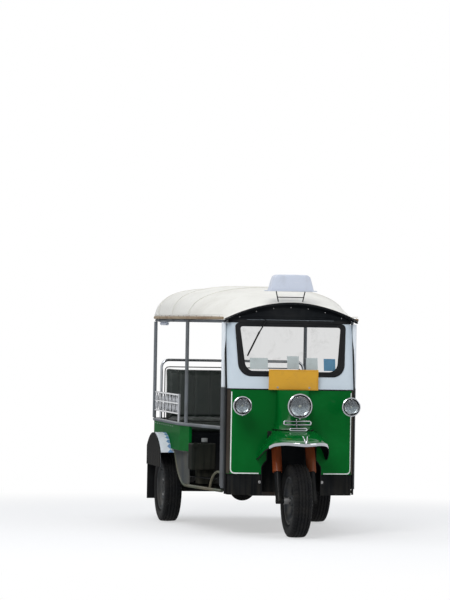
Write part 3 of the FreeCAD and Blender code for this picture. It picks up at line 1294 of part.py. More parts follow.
def chassis_nodes():
    """Nodes of the frame, floor and running gear."""
    save("frame_rails", frame_rails())
    save("frame_crossmembers", frame_crossmembers())
    save("floor_pan", [floor_pan()])
    save("wheel_well", wheel_well())
    save("steering_neck", [steering_neck()])
    save("rear_axle", [rear_axle()])
    save("leaf_springs", leaf_springs())
    save("engine_block", [engine_block()])
    save("engine_cover", [engine_cover()])
    save("exhaust", exhaust())
    save("rear_bumper", [rear_bumper()])
    save("side_box", [side_box(), battery_tray()])


def body_nodes():
    """Nodes of the posts, tub, seats and roof."""
    save("windscreen_posts", windscreen_posts())
    save("roof_posts", roof_posts())
    save("tub_rail", [tub_rail()])
    save("side_guards", [mirror(side_guard(BEND[1] + 45.0)), side_guard(ENTRY_Y + RAIL_R)])
    save("tub_side_panels", [tub_side(-1, TUB_FRONT_Y), tub_side(1, ENTRY_Y)])
    save("tail_panel", [tub_tail()])
    save("lower_side_panels", [side_panel(-1), side_panel(1)])
    save("sill_tubes", [fuse([rim_tube(-1), sill_brace()]), rim_tube(1)])
    save("rear_fenders", [rear_fender(-1), rear_fender(1)])
    save("mud_flaps", [mud_flap(-1), mud_flap(1)])
    save("bench_base", [bench_base()] + bench_deck())
    save("bench_cushion", [bench_cushion()])
    save("bench_backrest", [bench_backrest()])
    save("backrest_hoop", [backrest_hoop()])
    save("driver_seat", driver_seat())
    save("roof_canopy", [roof_canopy()])
    save("roof_frame", [roof_frame()])
    save("roof_visor", [roof_visor(), roof_header()])


def steering_nodes():
    """Nodes that turn with the steering."""
    bar, grips = handlebar()
    save("fork_legs", fork_legs())
    save("fork_covers", fork_covers())
    save("front_spindle", [front_spindle()])
    save("steering_stem", [steering_stem()])
    save("handlebar", [bar])
    save("grips", grips)


def wheel_nodes():
    """Tyre and rim of each wheel."""
    places = [
        ("front", 1, 0.0, FRONT_Y),
        ("rear_right", -1, -REAR_TRACK / 2, REAR_Y),
        ("rear_left", 1, REAR_TRACK / 2, REAR_Y),
    ]
    for name, side, x, y in places:
        tyres, rims = wheel(side, x, y)
        save("tyre_" + name, tyres)
        save("rim_" + name, rims)


def main():
    """Write every node."""
    chassis_nodes()
    front_wall_nodes()
    body_nodes()
    lamp_nodes()
    steering_nodes()
    wheel_nodes()


main()
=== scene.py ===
"""Looks of a green three-wheeled taxi with a cream canopy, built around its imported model."""

from __future__ import annotations

import json
import logging
import math
from dataclasses import dataclass, field
from enum import Enum
from typing import Callable, Mapping, Sequence, Union

import bmesh
import bpy
from mathutils import Matrix, Vector, noise

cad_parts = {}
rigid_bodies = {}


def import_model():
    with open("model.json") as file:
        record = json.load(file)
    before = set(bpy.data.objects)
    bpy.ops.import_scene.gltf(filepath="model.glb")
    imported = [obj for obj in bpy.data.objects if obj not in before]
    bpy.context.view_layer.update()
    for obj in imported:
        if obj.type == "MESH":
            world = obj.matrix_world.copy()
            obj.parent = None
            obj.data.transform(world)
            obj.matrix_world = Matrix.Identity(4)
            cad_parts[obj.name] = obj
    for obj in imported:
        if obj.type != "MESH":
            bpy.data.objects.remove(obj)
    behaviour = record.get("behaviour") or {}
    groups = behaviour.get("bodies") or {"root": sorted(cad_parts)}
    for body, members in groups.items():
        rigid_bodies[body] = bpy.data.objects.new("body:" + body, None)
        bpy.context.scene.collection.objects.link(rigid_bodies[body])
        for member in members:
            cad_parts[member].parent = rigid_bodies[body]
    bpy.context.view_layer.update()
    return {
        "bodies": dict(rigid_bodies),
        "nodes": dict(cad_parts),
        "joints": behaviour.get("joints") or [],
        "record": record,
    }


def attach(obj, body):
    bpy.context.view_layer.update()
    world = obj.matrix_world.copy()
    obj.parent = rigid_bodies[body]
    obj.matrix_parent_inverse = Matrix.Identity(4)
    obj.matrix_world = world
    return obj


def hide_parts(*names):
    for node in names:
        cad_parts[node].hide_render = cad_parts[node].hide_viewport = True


LOG = logging.getLogger("taxi")

Colour = tuple[float, float, float]
Point = Sequence[float]


def linear(red: float, green: float, blue: float) -> Colour:
    """The linear colour that the shaders take, from a screen colour of 0 to 255."""
    parts = [value / 255.0 for value in (red, green, blue)]
    return tuple(p / 12.92 if p <= 0.04045 else ((p + 0.055) / 1.055) ** 2.4 for p in parts)


class Signal:
    """A number that flows through a shader and is written like a number in an expression."""

    def __init__(self, shader: "Shader", socket: bpy.types.NodeSocket | None) -> None:
        """Keeps the shader and the output socket that the number leaves."""
        self.shader = shader
        self.socket = socket

    def _math(self, operation: str, *values: Union[float, "Signal"]) -> "Signal":
        """The result of a Math node whose sockets take the values in order."""
        return self.shader.node("ShaderNodeMath", {"operation": operation}, dict(enumerate(values)))

    def __add__(self, other: Union[float, "Signal"]) -> "Signal":
        """Sum."""
        return self._math("ADD", self, other)

    __radd__ = __add__

    def __sub__(self, other: Union[float, "Signal"]) -> "Signal":
        """Difference."""
        return self._math("SUBTRACT", self, other)

    def __rsub__(self, other: float) -> "Signal":
        """Difference from a plain number."""
        return self._math("SUBTRACT", other, self)

    def __mul__(self, other: Union[float, "Signal"]) -> "Signal":
        """Product."""
        return self._math("MULTIPLY", self, other)

    __rmul__ = __mul__

    def __truediv__(self, other: Union[float, "Signal"]) -> "Signal":
        """Quotient."""
        return self._math("DIVIDE", self, other)

    def __pow__(self, other: float) -> "Signal":
        """Power."""
        return self._math("POWER", self, other)

    def __abs__(self) -> "Signal":
        """Size without its sign."""
        return self._math("ABSOLUTE", self)

    def above(self, edge: float) -> "Signal":
        """One where the number is over an edge, and nothing elsewhere."""
        return self._math("GREATER_THAN", self, edge)

    def higher_of(self, other: Union[float, "Signal"]) -> "Signal":
        """The higher of two numbers."""
        return self._math("MAXIMUM", self, other)

    def fraction(self) -> "Signal":
        """What is left after the whole number is taken off."""
        return self._math("FRACT", self)

    def sine(self) -> "Signal":
        """Sine of the number in radians."""
        return self._math("SINE", self)

    def ramp(self, low: float, high: float) -> "Signal":
        """A soft step from 0 at one value to 1 at another.

        Args:
            low: Where the step starts.
            high: Where it ends; lower than the start for a falling step.

        Returns:
            The step, from 0 to 1.
        """
        if low < high:
            return self.shader.node("ShaderNodeMapRange", {"interpolation_type": "SMOOTHSTEP"},
                                    {"Value": self, "From Min": low, "From Max": high})
        return 1.0 - self.ramp(high, low)


Flow = Union[float, Sequence[float], Signal]


class Shader:
    """One procedural material, or the world's light, and the nodes in it."""

    def __init__(self, name: str, world: bool = False) -> None:
        """Starts with no nodes.

        Args:
            name: The name of the material or the world.
            world: Whether it lights the world and no surface.
        """
        self.material = (bpy.data.worlds if world else bpy.data.materials).new(name)
        self.last = "ShaderNodeOutputWorld" if world else "ShaderNodeOutputMaterial"
        self.material.use_nodes = True
        self.tree = self.material.node_tree
        self.tree.nodes.clear()
        self._place: dict[str, Signal] = {}

    @staticmethod
    def _find(sockets: bpy.types.bpy_prop_collection, key: Union[int, str]) -> bpy.types.NodeSocket:
        """Finds a socket by number or by name among those in use.

        Args:
            sockets: A node's inputs or outputs.
            key: The number or the name.

        Returns:
            The socket.
        """
        if isinstance(key, int):
            return sockets[key]
        return next(s for s in sockets if s.name == key and s.enabled)

    def node(self, kind: str, settings: Mapping[str, object] | None = None,
             inputs: Mapping[Union[int, str], Flow] | None = None, output: Union[int, str] = 0) -> Signal:
        """Adds any node.

        Args:
            kind: The node's type.
            settings: Its own settings, set before its sockets.
            inputs: Values or signals for its sockets, by number or by name.
            output: The output that is wanted.

        Returns:
            That output, or an empty signal from a node that has none.
        """
        made = self.tree.nodes.new(kind)
        for name, value in (settings or {}).items():
            setattr(made, name, value)
        for key, value in (inputs or {}).items():
            socket = self._find(made.inputs, key)
            if isinstance(value, Signal):
                self.tree.links.new(value.socket, socket)
            elif isinstance(value, (int, float)):
                socket.default_value = value
            else:
                whole = list(value)
                socket.default_value = whole + [1.0] * (len(socket.default_value) - len(whole))
        return Signal(self, self._find(made.outputs, output) if made.outputs else None)

    def place(self) -> Signal:
        """Where a point is on its piece, in metres, which moves along with the piece.

        Returns:
            The place.
        """
        if "place" not in self._place:
            self._place["place"] = self.node("ShaderNodeTexCoord", output="Object")
        return self._place["place"]

    def axis(self, letter: str) -> Signal:
        """One coordinate of the place.

        Args:
            letter: "X", "Y" or "Z".

        Returns:
            The coordinate in metres.
        """
        if letter not in self._place:
            self._place[letter] = self.node("ShaderNodeSeparateXYZ", None, {0: self.place()}, letter)
        return self._place[letter]

    def facing(self, letter: str) -> Signal:
        """How far the surface faces along an axis of its piece, "X", "Y" or "Z", from -1 to 1."""
        normal = self.node("ShaderNodeTexCoord", output="Normal")
        return self.node("ShaderNodeSeparateXYZ", None, {0: normal}, letter)

    def stretched(self, x: float, y: float, z: float) -> Signal:
        """The place, scaled along each axis."""
        return self.node("ShaderNodeVectorMath", {"operation": "MULTIPLY"}, {0: self.place(), 1: (x, y, z)})

    def clouds(self, scale: float, detail: float = 4.0, rough: float = 0.55, warp: float = 0.0,
               at: Signal | None = None) -> Signal:
        """Soft noise.

        Args:
            scale: Features to the metre.
            detail: Layers of finer noise.
            rough: Weight of the finer layers.
            warp: Distortion.
            at: Where to read it, or the plain place.

        Returns:
            Noise about 0.5.
        """
        values = {"Vector": at or self.place(), "Scale": scale, "Detail": detail, "Roughness": rough,
                  "Distortion": warp}
        return self.node("ShaderNodeTexNoise", None, values)

    def cells(self, scale: float, feature: str = "F1", output: str = "Distance",
              at: Signal | None = None) -> Signal:
        """Cell noise with a number of cells to the metre, read at a place or at the plain one."""
        return self.node("ShaderNodeTexVoronoi", {"feature": feature},
                         {"Vector": at or self.place(), "Scale": scale}, output)

    def blend(self, first: Flow, second: Flow, share: Flow) -> Signal:
        """A colour between two, by the share of the second."""
        values = {"Factor": share, "A": first, "B": second}
        return self.node("ShaderNodeMix", {"data_type": "RGBA"}, values, "Result")

    def bump(self, height: Signal, depth: float, strength: float = 1.0, under: Signal | None = None) -> Signal:
        """A surface normal bent by a height.

        Args:
            height: The height, from 0 to 1.
            depth: What a height of 1 stands for, in metres.
            strength: Strength, from 0 to 1.
            under: A normal to bend further.

        Returns:
            The normal.
        """
        values: dict[Union[int, str], Flow] = {"Height": height, "Distance": depth, "Strength": strength}
        if under is not None:
            values["Normal"] = under
        return self.node("ShaderNodeBump", None, values, "Normal")

    def surface(self, **values: Flow) -> bpy.types.Material:
        """Closes the material with one surface shader.

        Args:
            values: Its sockets, with underscores for spaces.

        Returns:
            The finished material.
        """
        shader = self.node("ShaderNodeBsdfPrincipled", None, {k.replace("_", " "): v for k, v in values.items()})
        self.close(shader)
        return self.material

    def close(self, shader: Signal) -> None:
        """Joins a surface or a light to the output."""
        self.node(self.last, None, {"Surface": shader})

    def seen(self) -> Signal:
        """Tells rays that show something from rays that only light the taxi.

        Returns:
            One for rays from the camera, off a mirror or through glass, and nothing for others.
        """
        rays = [self.node("ShaderNodeLightPath", output=f"Is {kind} Ray")
                for kind in ("Camera", "Glossy", "Transmission")]
        return rays[0].higher_of(rays[1]).higher_of(rays[2])


@dataclass(frozen=True)
class Enamel:
    """Sprayed paint on steel with road dust, faded patches and small chips.

    Attributes:
        name: The finish's name.
        colour: The paint where it is clean.
        faded: The paint where sun and wiping have dulled it.
        gloss: Roughness of clean paint.
        dust: How much dust lies on it, from 0 to 1.
        dust_top: Height below which road dust gathers, in metres.
        chips: Share of the surface that is chipped.
        peel: Height of the sprayed skin's ripples, in metres.
        glint: How strongly the paint's skin mirrors.
    """

    name: str
    colour: Colour
    faded: Colour
    gloss: float = 0.28
    dust: float = 0.35
    dust_top: float = 0.75
    chips: float = 0.02
    peel: float = 0.0002
    glint: float = 0.35

    def material(self) -> bpy.types.Material:
        """Mixes the paint.

        Returns:
            The material.
        """
        s = Shader(self.name)
        wear = s.clouds(2.6, 5.0, 0.6, 0.4)
        fine = s.clouds(38.0, 3.0, 0.6)
        streak = s.clouds(1.0, 4.0, 0.6, 0.2, s.stretched(26.0, 26.0, 1.6))
        tint = self.coat(s, s.blend(self.colour, self.faded, wear.ramp(0.42, 0.72) * 0.8))
        low = s.axis("Z").ramp(self.dust_top, 0.18)
        road = (low * streak.ramp(0.3, 0.75) * 0.8 + wear.ramp(0.55, 0.8) * fine * 0.35) * self.dust
        tint = s.blend(tint, linear(126, 118, 103), road)
        chip = (s.cells(46.0) * 0.6 + fine * 0.4 + wear * 0.25).ramp(0.3, 0.3 - 0.9 * self.chips)
        tint = s.blend(tint, linear(96, 84, 74), chip * wear.ramp(0.5, 0.62))
        rough = self.gloss + fine * 0.1 + road * 0.45 + wear.ramp(0.5, 0.8) * 0.12
        ripple = s.clouds(240.0, 2.0)
        normal = s.bump(ripple, self.peel, 0.5, s.bump(wear, 0.004, 0.35))
        sheen = self.glint * (s.facing("Z").ramp(0.1, 0.9) * 1.6 + 0.12) - road * 0.05
        return s.surface(Base_Color=tint, Roughness=rough, Normal=normal, Coat_Weight=sheen, Coat_Roughness=0.1,
                         Specular_IOR_Level=0.0)

    def coat(self, s: Shader, tint: Signal) -> Signal:
        """The ground colour with whatever is painted over it, which is nothing on plain enamel."""
        return tint


@dataclass(frozen=True)
class TwoTonePaint(Enamel):
    """Paint that changes colour at one height.

    Attributes:
        upper: The colour above.
        split: The height, in metres.
    """

    upper: Colour = (1.0, 1.0, 1.0)
    split: float = 1.0

    def coat(self, s: Shader, tint: Signal) -> Signal:
        """Paints the upper part."""
        return s.blend(tint, self.upper, s.axis("Z").ramp(self.split - 0.006, self.split + 0.006))


@dataclass(frozen=True)
class FenderPaint(Enamel):
    """White fender paint with a row of blue lozenges and a patterned inner band, and flanges painted near black as
    painted shade.

    Attributes:
        middle: (y, z) of the fender's arc, in metres.
        bands: |X| where the inner band ends, where the lozenges end and where the flange lies.
        lozenge: Colour of the lozenges.
        inner: Colour of the inner band.
        dark: Near black painted on the flanges as painted shade.
    """

    middle: tuple[float, float] = (0.775, 0.270)
    bands: tuple[float, float, float] = (0.618, 0.662, 0.7185)
    lozenge: Colour = (0.2, 0.3, 0.5)
    inner: Colour = (0.5, 0.45, 0.4)
    dark: Colour = (0.01, 0.01, 0.01)

    def coat(self, s: Shader, tint: Signal) -> Signal:
        """Paints the bands, and near black on the flanges as painted shade.

        Args:
            s: The shader.
            tint: The ground colour.

        Returns:
            The painted colour.
        """
        across = abs(s.axis("X"))
        y, z = s.axis("Y") - self.middle[0], s.axis("Z") - self.middle[1]
        turn = s.node("ShaderNodeMath", {"operation": "ARCTAN2"}, {0: z, 1: y})
        low, high, edge = self.bands
        wide = high - low
        row = abs((across - low) / wide - 0.5) + abs((turn * (0.43 / wide * 0.7)).fraction() - 0.5)
        grid = abs((across / wide * 2.0).fraction() - 0.5) + abs((turn * (0.43 / wide * 2.0)).fraction() - 0.5)
        tint = s.blend(tint, self.lozenge, row.ramp(0.52, 0.46) * across.above(low) * (1.0 - across.above(high)))
        tint = s.blend(tint, self.inner, grid.ramp(0.54, 0.44) * (1.0 - across.above(low)))
        # Painted shade: the outer flanges, past the last band, are painted near black.
        return s.blend(tint, self.dark, across.above(edge))


@dataclass(frozen=True)
class Vinyl:
    """Coated cloth with a pressed grain, soft creases and grime.

    Attributes:
        name: The finish's name.
        colour: The cloth where it is clean.
        soiled: The cloth where it is dirty.
        gloss: Roughness of the clean skin.
        grain: Grain cells to the metre.
        grain_depth: Depth of the grain, in metres.
        crease: Depth of the soft creases, in metres.
        soil: How much dirt it carries, from 0 to 1.
    """

    name: str
    colour: Colour
    soiled: Colour
    gloss: float = 0.45
    grain: float = 420.0
    grain_depth: float = 0.0006
    crease: float = 0.004
    soil: float = 0.5

    def material(self) -> bpy.types.Material:
        """Mixes the vinyl.

        Returns:
            The material.
        """
        s = Shader(self.name)
        broad = s.clouds(3.2, 5.0, 0.6, 0.5)
        spots = s.clouds(22.0, 4.0, 0.65)
        drips = s.clouds(1.0, 3.0, 0.6, 0.0, s.stretched(30.0, 30.0, 2.5))
        dirt = broad.ramp(0.42, 0.78) * 0.6 + spots.ramp(0.5, 0.8) * 0.35 + drips.ramp(0.52, 0.8) * 0.3
        dirt = dirt * self.soil
        tint = s.blend(self.colour, self.soiled, dirt)
        pores = s.cells(self.grain, "DISTANCE_TO_EDGE").ramp(0.0, 0.22)
        folds = s.clouds(7.0, 3.0, 0.5, 1.2)
        normal = s.bump(pores, self.grain_depth, 0.5, s.bump(folds, self.crease, 0.5))
        return s.surface(Base_Color=tint, Roughness=self.gloss + dirt * 0.3 + spots * 0.08, Normal=normal,
                         Sheen_Weight=0.08, Specular_IOR_Level=0.45)


@dataclass(frozen=True)
class BareMetal:
    """Rolled or cast metal with rolling lines, dull patches and rust or oxide.

    Attributes:
        name: The finish's name.
        colour: The metal where it is bright.
        oxide: The colour of rust or oxide.
        gloss: Roughness where it is bright.
        rust: Share covered by oxide, from 0 to 1.
        lines: Depth of the rolling lines, in metres.
        cast: Depth of a cast skin's bumps, in metres.
        shine: How metallic the bright parts are.
    """

    name: str
    colour: Colour
    oxide: Colour
    gloss: float = 0.38
    rust: float = 0.2
    lines: float = 0.0001
    cast: float = 0.0
    shine: float = 1.0

    def material(self) -> bpy.types.Material:
        """Mixes the metal.

        Returns:
            The material.
        """
        s = Shader(self.name)
        broad = s.clouds(5.0, 5.0, 0.62, 0.3)
        fine = s.clouds(60.0, 3.0, 0.65)
        rolled = s.clouds(1.0, 2.0, 0.5, 0.0, s.stretched(30.0, 30.0, 900.0))
        patch = (broad * 0.65 + fine * 0.35 + s.axis("Z").ramp(0.6, 0.2) * 0.06).ramp(0.66 - 0.3 * self.rust, 0.72)
        tint = s.blend(self.colour, self.oxide, patch * 0.85)
        tint = s.blend(tint, linear(120, 112, 98), fine.ramp(0.5, 0.8) * 0.25)
        rough = self.gloss + rolled * 0.12 + patch * 0.35 + fine * 0.08
        skin = s.bump(rolled, self.lines, 0.4)
        normal = s.bump(fine * 0.7 + patch * 0.3, self.cast + 0.0003, 0.5, skin)
        return s.surface(Base_Color=tint, Roughness=rough, Metallic=self.shine - patch * 0.8 * self.shine,
                         Normal=normal)


@dataclass(frozen=True)
class Chrome:
    """Bright plating with fine pitting and a film of dust.

    Attributes:
        name: The finish's name.
        colour: The plating.
        pits: Share of the surface that is pitted.
        gloss: Roughness of clean plating.
        painted_reflection_heights: Heights between which a painted reflection darkens it upward, standing in for
            the dark upper half that a lamp dish mirrors.
    """

    name: str
    colour: Colour
    pits: float = 0.15
    gloss: float = 0.09
    painted_reflection_heights: tuple[float, float] = (8.0, 9.0)

    def material(self) -> bpy.types.Material:
        """Mixes the plating.

        Returns:
            The material.
        """
        s = Shader(self.name)
        haze = s.clouds(7.0, 4.0, 0.6, 0.4)
        pit = s.cells(260.0).ramp(0.24, 0.08) * s.clouds(14.0, 4.0).ramp(0.62 - 0.3 * self.pits, 0.72)
        tint = s.blend(self.colour, linear(104, 78, 58), pit)
        tint = s.blend(tint, linear(150, 143, 130), haze.ramp(0.5, 0.85) * 0.3)
        # Painted reflection: a dark blue-grey laid over the plating, rising between the given heights.
        tint = s.blend(tint, linear(58, 62, 70), s.axis("Z").ramp(*self.painted_reflection_heights) * 0.85)
        rough = self.gloss + haze.ramp(0.45, 0.85) * 0.22 + pit * 0.5
        return s.surface(Base_Color=tint, Roughness=rough, Metallic=1.0 - pit * 0.8,
                         Normal=s.bump(pit, -0.0003, 0.6))


@dataclass(frozen=True)
class Rubber:
    """Black rubber, greyed by dust in patches.

    Attributes:
        name: The finish's name.
        colour: Clean rubber.
        dusty: Rubber under dust.
        gloss: Roughness of clean rubber.
        dust: How much dust it carries.
        skin: Depth of its fine skin, in metres.
    """

    name: str
    colour: Colour
    dusty: Colour
    gloss: float = 0.62
    dust: float = 0.5
    skin: float = 0.0004

    def material(self) -> bpy.types.Material:
        """Mixes the rubber.

        Returns:
            The material.
        """
        s = Shader(self.name)
        broad = s.clouds(9.0, 5.0, 0.65, 0.3)
        fine = s.clouds(110.0, 3.0, 0.7)
        film = (broad.ramp(0.38, 0.75) * 0.7 + fine.ramp(0.5, 0.8) * 0.3) * self.dust
        tint = s.blend(self.colour, self.dusty, film)
        return s.surface(Base_Color=tint, Roughness=self.gloss + film * 0.3, Normal=s.bump(fine, self.skin, 0.6),
                         Specular_IOR_Level=0.12)


@dataclass(frozen=True)
class ClearGlass:
    """Thin clear glass with dust and wipe marks.

    Attributes:
        name: The finish's name.
        tint: Colour of the light that passes.
        haze: Roughness of the dusty parts.
        flutes: Ribs to the metre moulded into a lens, or 0.
        flute_depth: Depth of the ribs, in metres.
        show: Share of a lens that isn't seen through, from 0 to 1.
    """

    name: str
    tint: Colour
    haze: float = 0.12
    flutes: float = 0.0
    flute_depth: float = 0.0
    show: float = 0.0

    def material(self) -> bpy.types.Material:
        """Mixes the glass.

        Returns:
            The material.
        """
        s = Shader(self.name)
        smear = s.clouds(6.0, 5.0, 0.65, 1.0)
        grit = s.clouds(150.0, 2.0, 0.6)
        film = smear.ramp(0.5, 0.85) * 0.5 + grit.ramp(0.6, 0.85) * 0.2
        rough = 0.02 + film * self.haze
        values: dict[str, Flow] = {"Roughness": rough, "IOR": 1.45}
        if self.flutes:
            ribs = abs((s.axis("X") * (self.flutes * math.pi)).sine())
            values["Normal"] = s.bump(ribs, self.flute_depth, 0.8)
        if self.show:
            colour = s.blend(self.tint, linear(170, 164, 150), film * 0.4)
            return s.surface(Base_Color=colour, Transmission_Weight=1.0 - self.show, **values)
        values["Alpha"] = 0.16 + film * 0.3
        return s.surface(Base_Color=s.blend(self.tint, linear(188, 184, 172), film), **values)


@dataclass(frozen=True)
class Plank:
    """A flat plate's paint with dents, scuffs and patches of grime.

    Attributes:
        name: The finish's name.
        colour: The paint.
        worn: The paint where it is scuffed.
        gloss: Roughness.
        grime: How dirty it is.
    """

    name: str
    colour: Colour
    worn: Colour
    gloss: float = 0.4
    grime: float = 0.4

    def material(self) -> bpy.types.Material:
        """Mixes the plate's paint.

        Returns:
            The material.
        """
        s = Shader(self.name)
        broad = s.clouds(9.0, 4.0, 0.6, 0.4)
        fine = s.clouds(70.0, 4.0, 0.65)
        scuff = s.clouds(1.0, 3.0, 0.6, 0.3, s.stretched(18.0, 18.0, 140.0)).ramp(0.6, 0.74)
        dirt = (broad.ramp(0.45, 0.8) * 0.6 + fine.ramp(0.55, 0.8) * 0.4) * self.grime
        tint = s.blend(s.blend(self.colour, self.worn, scuff * 0.6), linear(98, 84, 62), dirt)
        return s.surface(Base_Color=tint, Roughness=self.gloss + dirt * 0.3,
                         Normal=s.bump(fine, 0.0004, 0.4, s.bump(broad, 0.003, 0.4)))


@dataclass(frozen=True)
class Palette:
    """Every finish of the taxi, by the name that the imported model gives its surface.

    Attributes:
        finishes: The finishes by name.
        made: The materials that are mixed already, by name.
    """

    finishes: dict[str, object] = field(default_factory=lambda: {paint.name: paint for paint in (
        Enamel("green_paint", linear(4, 92, 34), linear(10, 106, 44), 0.2, 0.12, 0.5, 0.006, 0.0002, 0.6),
        Enamel("pale_paint", linear(200, 210, 216), linear(182, 194, 202), 0.3, 0.25, 0.6, 0.012),
        Enamel("dark_paint", linear(20, 22, 24), linear(32, 34, 36), 0.4, 0.16, 0.6, 0.012, 0.0002, 0.2),
        Enamel("grey_paint", linear(118, 122, 126), linear(96, 98, 98), 0.36, 0.3, 0.9, 0.03),
        Enamel("panel_paint", linear(70, 75, 78), linear(92, 92, 86), 0.4, 0.5, 1.1, 0.05),
        Enamel("sill_paint", linear(84, 92, 80), linear(104, 96, 80), 0.45, 0.5, 0.9, 0.09),
        TwoTonePaint("post_paint", linear(92, 95, 98), linear(76, 76, 76), 0.3, 0.3, 0.9, 0.02, 0.0002, 0.6,
                     linear(222, 227, 230), 1.095),
        # The fender's outer flanges take near black as painted shade.
        FenderPaint("fender_paint", linear(226, 230, 236), linear(206, 208, 212), 0.3, 0.2, 0.75, 0.01, 0.0002, 0.5,
                    (0.775, 0.270), (0.618, 0.662, 0.7185), linear(112, 150, 190), linear(188, 172, 166),
                    linear(16, 17, 18)),
        TwoTonePaint("knob_paint", linear(28, 31, 28), linear(44, 46, 42), 0.5, 0.25, 0.9, 0.03, 0.0002, 0.2,
                     linear(150, 152, 150), 0.664),
        Enamel("orange_paint", linear(122, 54, 24), linear(112, 62, 36), 0.42, 0.6, 0.8, 0.05),
        # The rims' dark grey is partly their own paint and partly painted shade.
        Enamel("rim_paint", linear(74, 77, 80), linear(54, 54, 54), 0.4, 0.4, 0.6, 0.03),
        BareMetal("cast_iron", linear(70, 68, 66), linear(74, 52, 38), 0.55, 0.45, 0.0, 0.0012, 0.7),
        BareMetal("steel", linear(150, 150, 150), linear(96, 66, 46), 0.42, 0.3),
        Chrome("chrome", linear(172, 175, 180)),
        ClearGlass("lamp_glass", linear(190, 198, 202), 0.1, 120.0, 0.0015, 0.06),
        ClearGlass("screen_glass", linear(20, 34, 34), 0.16),
        Rubber("black_rubber", linear(16, 17, 19), linear(60, 59, 57), 0.5, 0.22),
        Rubber("tyre", linear(15, 16, 18), linear(58, 55, 50), 0.7, 0.4, 0.0007),
        Vinyl("dark_vinyl", linear(30, 40, 36), linear(74, 76, 68), 0.36, 380.0, 0.0006, 0.005, 0.3),
        Vinyl("roof_vinyl", linear(226, 224, 216), linear(158, 150, 132), 0.42, 520.0, 0.0005, 0.004, 0.30),
        Plank("yellow_plate", linear(206, 152, 26), linear(176, 122, 30), 0.38, 0.4),
        ClearGlass("red_lens", linear(176, 18, 14), 0.1, 90.0, 0.001, 0.75),
        Plank("white_plastic", linear(196, 202, 214), linear(210, 214, 218), 0.36, 0.25),
        Enamel("corner_paint", linear(62, 56, 50), linear(44, 40, 38), 0.45, 0.3, 0.8, 0.05),
        Plank("stripe_paint", linear(226, 230, 226), linear(176, 182, 170), 0.35, 0.4),
        BareMetal("rusty_pipe", linear(150, 132, 106), linear(98, 62, 40), 0.6, 0.8, 0.0, 0.0008, 0.2),
        Plank("card", linear(240, 250, 248), linear(222, 226, 220), 0.6, 0.15),
        Plank("blue_card", linear(104, 164, 200), linear(130, 176, 204), 0.6, 0.15),
        # The dish's upper part takes a painted reflection in dark blue-grey.
        Chrome("reflector", linear(226, 228, 230), 0.0, 0.08, (0.935, 0.985)),
        Plank("bulb_glass", linear(240, 236, 214), linear(220, 214, 190), 0.2, 0.05),
    )})
    made: dict[str, bpy.types.Material] = field(default_factory=dict)

    def get(self, name: str) -> bpy.types.Material:
        """Gives a finish's material and mixes it on first use.

        Args:
            name: The finish.

        Returns:
            The material.
        """
        if name not in self.made:
            self.made[name] = self.finishes[name].material()
        return self.made[name]


class Body(Enum):
    """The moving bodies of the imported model."""

    CHASSIS = "chassis"
    STEERING = "steering"
    FRONT_WHEEL = "front_wheel"
    REAR_RIGHT = "rear_wheel_right"
    REAR_LEFT = "rear_wheel_left"


